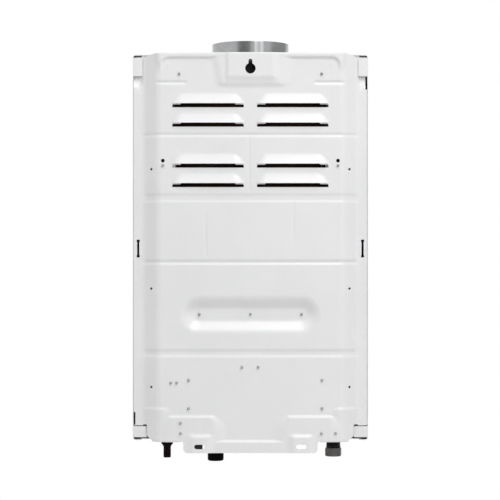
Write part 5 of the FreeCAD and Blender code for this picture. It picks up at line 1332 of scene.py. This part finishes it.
def screwMesh(length):
    # pan head, cross recess, and a thread that runs out to a point; the point is at height 0
    s = screws
    root, seat, head = s["root"], -length, s["head"]
    top = seat - s["headHeight"]
    profile = [(0, top + 0.9), (0.7, top + 0.8), (1.4, top), (head - 0.9, top + 0.15),
               (head - 0.2, top + 0.9),
               (head, seat - 0.3), (head - 0.1, seat)]
    profile += [(root, seat + k * s["pitch"] / 6) for k in range(int((length - 2.2) / s["pitch"] * 6))]
    profile += [(root * 0.75, -1.8), (root * 0.4, -0.8), (0.0, 0.0)]

    def thread(radius, height, angle):
        if root * 0.5 < radius < root + 0.01 and seat + 0.2 < height < -1.0:
            phase = (height / s["pitch"] - angle / (2 * math.pi)) % 1.0
            return radius + (s["shank"] - root) * max(0.0, 1 - abs(2 * phase - 1) * 1.6)
        return radius
    return lathe("screw", profile, (0, 0, 0), (0, 1, 0), 20, thread)


def makeScrews():
    s = screws
    groups, meshes = {}, []
    for places, reach in ((screwPlaces, s["reach"]), (blindScrewPlaces, s["blind"])):
        for x, z in places:
            face = round(float(panelLevel(np.array([x]), np.array([z]))[0]), 1)
            groups.setdefault((face, reach), []).append((x, face + reach, z))
    for (face, reach), places in groups.items():
        seat = min(face, rearPanel["field"]) - s["sheets"]
        single = screwMesh(max(face + reach - seat, s["shortest"]))
        meshes.append(repeated(single, places, finishOf["chassis_screws"], math.pi, (0, 1, 0), 11))
    finished("chassis_screws", joined("chassisScrews", meshes), 45)
    x, y, _ = cover["screws"]
    single = screwMesh(s["coverLength"])
    single.transform(Matrix.Rotation(math.pi / 2, 4, "X"))
    places = [(side * x, y, cover["bottom"] + s["coverLength"]) for side in (-1, 1)]
    finished("cover_screws", repeated(single, places, finishOf["cover_screws"], math.pi, (0, 0, 1), 5), 45)


makeScrews()
print("screws are set out")


# controls on the front

controls = {
    "level": -436.0, "seat": -171.0, "depth": 17.0, "skirt": 19.0, "radius": 17.0, "edge": 3.2,
    "grip": 4.5, "gripDepth": 8.0, "flutes": 40, "fluteDepth": 0.35,
    "pointer": (0.65, 4.95, 13.25), "spindle": (3.5, 52.4, -119.3),
    "places": {"water": 84.0, "gas": 0.0, "season": -84.0},
}


def knobMesh(x):
    # skirted knob: fine flutes on the skirt's edge, a grip across the face, and a groove for the pointer
    k = controls
    depth, skirt, radius, edge, level = k["depth"], k["skirt"], k["radius"], k["edge"], k["level"]
    face = k["seat"] - depth
    profile = [(0, 0), (skirt - 0.8, 0), (skirt, 0.8), (skirt, 2.0), (skirt - 0.7, 2.9), (radius + 0.4, 3.4),
               (radius, 4.2)] + [(radius - 1.2 * i / 4, 4.2 + (depth - 7.8) * i / 4) for i in range(1, 4)]
    profile += [(min(r, radius - 1.3), h) for r, h in arc(radius - edge, depth - edge, edge,
                                                          math.pi / 2 - 1.35,
                                                          math.pi / 2, 7)] + [(0, depth)]

    def fluted(reach, height, angle):
        if radius - 1.5 < reach < radius + 0.1 and 4.0 < height < depth - 2.5:
            return reach - k["fluteDepth"] * (0.5 + 0.5 * math.cos(angle * k["flutes"]))
        return reach
    body = lathe("knob", profile, (x, k["seat"], level), (0, -1, 0), 160, fluted)
    cutters = []
    for side in (-1, 1):
        near, far = sorted((x + side * k["grip"], x + side * 30))
        cutters.append(boxMesh("cheek", (near, face - 2, level - 30),
                               (far, k["seat"] - k["gripDepth"], level + 30),
                               1.2, 3))
    half, low, high = k["pointer"]
    cutters.append(boxMesh("groove", (x - half - 0.05, face - 1, level + low - 0.05),
                           (x + half + 0.05, face + 0.4, level + high + 0.05)))
    return carved(body, cutters)


def makeKnobs():
    k = controls
    face, level = k["seat"] - k["depth"], k["level"]
    half, low, high = k["pointer"]
    radius, length, seat = k["spindle"]
    for name, x in k["places"].items():
        mesh = knobMesh(x)
        softShade(mesh, 35)
        mesh = evenNormals(mesh)
        line = boxMesh("pointer", (x - half, face + 0.1, level + low), (x + half, face + 0.39, level + high),
                       0.1)
        knob = finished(name + "_knob", joined(name, [mesh, line]), 35)
        knob.data.materials.append(pointerPaint)
        for polygon in knob.data.polygons[len(mesh.polygons):]:
            polygon.material_index = 1
        profile = [(0, 0), (radius - 0.5, 0), (radius, 0.5), (radius, length - 0.4), (radius - 0.4, length),
                   (0, length)]
        shaft = lathe("spindle", profile, (x, seat, level), (0, -1, 0), 40)
        tip = seat - length
        flat = boxMesh("flat", (x - 5, tip - 1, level + radius - 1.0), (x + 5, tip + 12, level + 10))
        finished(name + "_spindle", carved(shaft, [flat]), 35)


makeKnobs()
print("knobs are made")


# water, gas and burner inside the case

def tube(points, radius, bend, sides=28, steps=8):
    # round pipe with arcs at its corners
    path = [Vector(points[0])]
    last = len(points) - 2
    for i in range(1, len(points) - 1):
        here = Vector(points[i])
        back, ahead = Vector(points[i - 1]) - here, Vector(points[i + 1]) - here
        room = min(back.length / (1 if i == 1 else 2), ahead.length / (1 if i == last else 2))
        half = back.angle(ahead) / 2
        reach = min(bend / math.tan(half), room)
        away = (back.normalized() + ahead.normalized()).normalized() * (reach * math.tan(half) / math.sin(half))
        start, end = back.normalized() * reach - away, ahead.normalized() * reach - away
        turn = start.rotation_difference(end)
        for k in range(steps + 1):
            part = turn.copy()
            part.angle = turn.angle * k / steps
            path.append(here + away + part @ start)
    path.append(Vector(points[-1]))
    path = [p for i, p in enumerate(path) if i == 0 or (p - path[i - 1]).length > 0.01]
    heading = (path[1] - path[0]).normalized()
    side = heading.orthogonal().normalized()
    rows = []
    for i, place in enumerate(path):
        if i:
            new = (path[min(i + 1, len(path) - 1)] - path[i - 1]).normalized()
            side = (heading.rotation_difference(new) @ side).normalized()
            heading = new
        up = heading.cross(side)
        rows.append([place + (side * math.cos(a) + up * math.sin(a)) * radius
                     for a in np.linspace(0, 2 * math.pi, sides, endpoint=False)])
    return stacked("tube", rows)


exchanger = {
    "half": 105.0, "rear": -38.0, "front": -142.0, "top": -45.3, "height": 66.0, "sheet": 1.0, "gap": 0.3,
    "tubeLevel": -80.0, "tubeRadius": 8.0, "tubeBend": 11.95, "tubes": [-54.0, -78.0, -102.0, -126.0],
    "riser": 128.0, "fins": 16, "finThickness": 0.8, "finMargin": 6.0, "coil": 7.5, "coilRise": 26.0,
    "coilBend": 8.5, "inlet": (-85.0, 15.0), "turnRoom": 15.0, "finCollar": (1.2, 1.6),
    "chamber": (100.0, -41.0, -139.0, 150.0),
}


def makeExchanger():
    e = exchanger
    ends, level, places, radius, gap = e["half"] + e["turnRoom"], e["tubeLevel"], e["tubes"], e["coil"], e["gap"]
    points, side = [(-e["riser"] + radius, places[0], level)], 1
    for first, second in zip(places, places[1:]):
        points += [(side * ends, first, level), (side * ends, second, level)]
        side = -side
    points.append((-e["riser"] + radius, places[-1], level))
    finished("exchanger_tubes", tube(points, e["tubeRadius"], e["tubeBend"]), 40)
    # one fin with rolled collars, set out along the tubes
    margin, (rolled, reach) = e["finMargin"], e["finCollar"]
    inner = e["half"] - e["sheet"] - margin
    low, high = e["top"] - e["height"] + margin, e["top"] - margin
    near, far = e["front"] + e["sheet"] + gap, e["rear"] - e["sheet"] - gap

    def collared(y, z):
        away = np.min([np.hypot(y - p, z - level) for p in places], axis=0) - e["tubeRadius"]
        return rolled * unit(1 - away / reach) ** 2
    flat, faces = pressedSheet(np.linspace(near, far, 16), np.linspace(low, high, 9),
                               roundedLoop(rectangle(near, low, far, high), 3.0, 3),
                               [circleLoop(y, level, e["tubeRadius"] + 0.05, 28) for y in places], collared)
    fin = thickened(cleaned(meshFrom("fin", flat[:, [1, 0, 2]], faces)), e["finThickness"], 0.0)
    rows = [(-inner + i * 2 * inner / (e["fins"] - 1), 0, 0) for i in range(e["fins"])]
    finished("exchanger_fins", repeated(fin, rows, finishOf["exchanger_fins"]), 40)
    # the pipe that winds round the chamber
    half, rear, front, height = e["chamber"]
    y, drop = e["inlet"]
    outX, frontY, rearY = half + gap + radius, front - gap - radius, rear + gap + radius
    low, rise, first = e["top"] - e["height"] - gap - height + 2 * radius, e["coilRise"], places[0]
    points = [(outX, y, low - drop - radius), (outX, y, low), (outX, frontY, low),
              (-outX, frontY, low + rise), (-outX, rearY, low + rise * 1.5), (outX, rearY, low + rise * 2),
              (outX, frontY, low + rise * 2.5), (-outX, frontY, low + rise * 3),
              (-outX, first, low + rise * 3.3), (-e["riser"], first, low + rise * 4.3),
              (-e["riser"], first, level),
              (-e["riser"] + radius, first, level)]
    finished("chamber_coil", tube(points, radius, e["coilBend"]), 40)


makeExchanger()
print("exchanger is made")

plumbing = {
    "radius": 7.5, "bend": 15.0, "cold": [(107.8, -85.0, -412.9), (107.8, -85.0, -269.4)],
    "nut": ((107.8, -85.0, -421.7), 9.0, 24.0),
    "hot": [(-120.6, -126.0, -80.0), (-129.0, -126.0, -80.0), (-129.0, -126.0, -448.2),
            (-119.6, -85.0, -478.2),
            (-119.6, -85.0, -508.2)],
}
cold, hot = (tube(plumbing[way], plumbing["radius"], plumbing["bend"]) for way in ("cold", "hot"))
finished("cold_pipe", joined("coldPipe", [cold, hexagonBar(*plumbing["nut"])]), 35)
finished("hot_pipe", hot, 40)

burner = {
    "top": -268.0, "bars": 10, "half": 94.8, "barWidth": 10.0, "front": -132.5, "rear": -47.5, "low": -317.7,
    "head": 24.0, "ports": 22, "portWidth": 1.1, "portLength": 6.0, "margin": 4.0,
    "nozzle": (-141.0, -311.0, 3.2, 6.7), "electrode": (-140.0, 33.6, 3.0, 1.0, 30.0, 8.0),
}


def makeBurner():
    b = burner
    pitch = 2 * b["half"] / b["bars"]
    rows = [-b["half"] + pitch * (i + 0.5) for i in range(b["bars"])]
    top, front, rear, low, half = b["top"], b["front"], b["rear"], b["low"], b["barWidth"] / 2
    neck, waist = top - b["head"], rear - 26
    loop = roundedLoop([(front, low), (front + 40, low + 2), (rear - 8, low + 2), (rear, low + 10),
                        (rear, top),
                        (front, top), (front, neck), (waist, neck - 6), (waist, low + 18), (front, low + 14)],
                       3.0, 3)
    # pressed shell: widest along the middle of the channel and pinched at its seam
    shelf = ((-half, 1.6), (-half + 1.2, 0.35), (-half + 2.6, 0.0), (half - 2.6, 0.0), (half - 1.2, 0.35),
             (half, 1.6))
    along = [(Vector(loop[(i + 1) % len(loop)]) - Vector(loop[i - 1])).normalized() for i in range(len(loop))]
    bar = stacked("burnerBar", [[(x, y - a.y * inset, z + a.x * inset) for (y, z), a in zip(loop, along)]
                                for x, inset in shelf])
    step = (rear - front - 2 * b["margin"]) / b["ports"]
    wide, reach = b["portWidth"] / 2, b["portLength"] / 2
    slots = [boxMesh("port", (-reach, y - wide, top - 2.5), (reach, y + wide, top + 2))
             for y in (front + b["margin"] + step * (i + 0.5) for i in range(b["ports"]))]
    bar = carved(bar, [joined("ports", slots)])
    finished("burner_bars", repeated(bar, [(x, 0, 0) for x in rows], finishOf["burner_bars"]), 35)
    start, level, radius, length = b["nozzle"]
    head = hexagonBar((0, 0, 0), 3.0, 2 * radius + 1.6, (0, 1, 0))
    tip = lathe("tip", [(0, 2.9), (radius, 2.9), (radius, 3.4), (radius * 0.62, length - 0.8),
                        (radius * 0.5, length), (0.5, length), (0.5, length - 1.2), (0, length - 1.4)],
                (0, 0, 0), (0, 1, 0), 24)
    finished("gas_nozzles", repeated(joined("nozzle", [head, tip]), [(x, start, level) for x in rows],
                                     finishOf["gas_nozzles"], math.pi, (0, 1, 0), 3), 35)
    y, pitch, radius, wire, length, reach = b["electrode"]
    places = [(x, y, top) for x in (-pitch, 0, pitch)]
    profile = [(0, -length), (radius - 0.6, -length), (radius, -length + 0.6)]
    for low in (-length + 3 + k * 2.2 for k in range(4)):
        profile += [(radius, low), (radius - 0.5, low + 0.7), (radius - 0.5, low + 1.4), (radius, low + 2.1)]
    profile += [(radius, -1.2), (radius - 0.8, -0.2), (wire + 0.4, 0), (0, 0)]
    finished("electrodes", repeated(lathe("electrode", profile, (0, 0, 0), count=28), places,
                                    finishOf["electrodes"]), 40)
    tips = tube([(0, 0, -0.5), (0, 0, reach * 0.55), (0, 4.5, reach - 0.8)], wire * 0.8, 2.5, 12, 5)
    mesh = repeated(tips, places, finishes["stainless"])
    softShade(mesh, 45)
    addPiece("electrodeWires", mesh, "case", (), finishes["stainless"])


makeBurner()
print("pipes and burner are made")


# the rest of the frame's pieces: castings with soft edges, folded plates with broken edges

castings = {"gas_valve": 1.0, "water_valve": 1.0, "season_valve": 0.8, "gas_manifold": 0.8,
            "water_valve_cover": 0.8}
broken = {
    "base_plate": 0.2, "draft_hood": 0.25, "exchanger_shell": 0.25, "combustion_chamber": 0.25,
    "exchanger_brackets": 0.25, "burner_tray": 0.25, "burner_bracket": 0.25, "electrode_plate": 0.25,
    "component_brackets": 0.25, "ignition_box": 0.9, "battery_box": 0.3, "battery_door": 0.35,
    "microswitch": 0.35,
    "switch_lever": 0.2, "overheat_switch": 0.6, "gas_solenoid": 0.4, "membrane": 0.25, "display_board": 0.3,
    "display_window": 0.4, "sight_glass": 0.3,
}


def frameCopy(node):
    # the frame's own piece as one welded mesh with its flat faces whole again
    mesh = joined(node, [frame["nodes"][node].data])
    with editing(mesh) as form:
        bmesh.ops.remove_doubles(form, verts=form.verts, dist=2e-6)
        bmesh.ops.dissolve_limit(form, angle_limit=math.radians(1.5), verts=form.verts, edges=form.edges)
    return mesh


for node, grain in castings.items():
    finished(node, modified(frameCopy(node), ("REMESH", {"mode": "VOXEL", "voxel_size": grain * mm}),
                            ("SMOOTH", {"factor": 0.6, "iterations": 5})), 80)
for node, width in broken.items():
    finished(node, modified(frameCopy(node), ("BEVEL", {
        "width": width * mm, "segments": 2, "limit_method": "ANGLE", "angle_limit": math.radians(28),
        "use_clamp_overlap": True})), 35)
print("castings and folded plates are finished")

small = {
    "boltRing": (66.0, -85.0, -436.0, 26.5, 8, 3.0, 5.9),
    "stem": [(0, 37.5), (1.6, 37.5), (2.0, 38.0), (2.0, 61.0), (4.2, 61.0), (4.5, 61.3), (4.5, 62.2),
             (4.2, 62.5),
             (2.0, 62.5), (2.0, 77.2), (1.6, 77.6), (0, 77.6)],
    "grommets": [(-119.6, 12.98), (79.0, 14.98), (50.1, 14.48)],
    "grommetSpan": (11.33, -521.4, -520.15, -518.8),
    "seal": (120.1, -85.0, -527.66, -526.2, 4.05, 7.0),
    "battery": (17.0, 61.5, [(-64.8, -138.1, 1), (-30.2, -76.6, -1)], -504.9),
}

segments = {
    "centres": (-7.0, 7.0), "level": -388.0, "face": -167.12, "thick": 0.09, "width": 1.3, "half": 3.4,
    "gap": 0.5,
    "squeeze": 0.95,
}


def makeDigits():
    # two unlit digits of seven bars each
    s = segments
    wide, long, tall = s["width"] / 2, s["half"] - s["gap"], s["half"] * s["squeeze"]
    bars = []
    for centre in s["centres"]:
        bars += [(centre, s["level"] + row * 2 * tall, long, wide) for row in (-1, 0, 1)]
        bars += [(centre + side * s["half"], s["level"] + row * tall, wide, tall - s["gap"])
                 for side in (-1, 1) for row in (-1, 1)]
    meshes = [boxMesh("segment", (x - w, s["face"] - s["thick"], z - h), (x + w, s["face"], z + h), 0.03, 1)
              for x, z, w, h in bars]
    addPiece("displayDigits", joined("displayDigits", meshes), "case", (),
             crystalInk)


def makeSmallPieces():
    x, y, z, reach, count, height, flats = small["boltRing"]
    turns = [2 * math.pi * (i + 0.5) / count for i in range(count)]
    places = [(x, y + reach * math.cos(turn), z + reach * math.sin(turn)) for turn in turns]
    finished("water_valve_bolts", repeated(hexagonBar((0, 0, 0), height, flats, (-1, 0, 0)), places,
                                           finishOf["water_valve_bolts"], math.pi, (1, 0, 0), 9), 35)
    finished("valve_stem", lathe("valveStem", small["stem"], (0, y, z), (1, 0, 0), 32), 35)
    inner, low, seat, top = small["grommetSpan"]
    rings = []
    for x, hole in small["grommets"]:
        profile = [(inner, low + 0.5), (inner + 0.5, low), (hole - 0.4, low), (hole, low + 0.3), (hole, seat),
                   (hole + 1.5, seat), (hole + 2, seat + 0.4), (hole + 1.9, top - 0.5), (hole + 1.2, top),
                   (inner + 0.5, top), (inner, top - 0.5)]
        rings.append(lathe("grommet", profile, (x, y, 0), count=64))
    finished("fitting_grommets", joined("grommets", rings), 35)
    x, y, low, high, inner, outer = small["seal"]
    middle, half = (low + high) / 2, (high - low) / 2
    profile = [(inner, middle - half * 0.6), (inner + 0.4, low),
               *arc(outer - half, middle, half, -math.pi / 2, math.pi / 2, 7),
               (inner + 0.4, high), (inner, middle + half * 0.6)]
    finished("drain_seal", lathe("seal", profile, (x, y, 0)), 50)
    radius, length, places, level = small["battery"]
    profile = [(0, 0.9), (9.0, 0.9), (9.6, 0.4), (radius - 1.6, 0.4), (radius - 1.0, 0), (radius - 0.3, 0.3),
               (radius, 1.2), (radius, length - 3.2), (radius - 0.3, length - 2.3),
               (radius - 1.0, length - 2.0),
               (radius - 1.8, length - 2.4), (6.0, length - 2.4), (4.7, length - 1.9), (4.7, length - 0.5),
               (4.2, length), (0, length)]
    cans = [lathe("can", profile, (x, start, level), (0, heading, 0), 64) for x, start, heading in places]
    finished("batteries", joined("cans", cans), 35)


makeSmallPieces()
makeDigits()
print("small pieces are made")
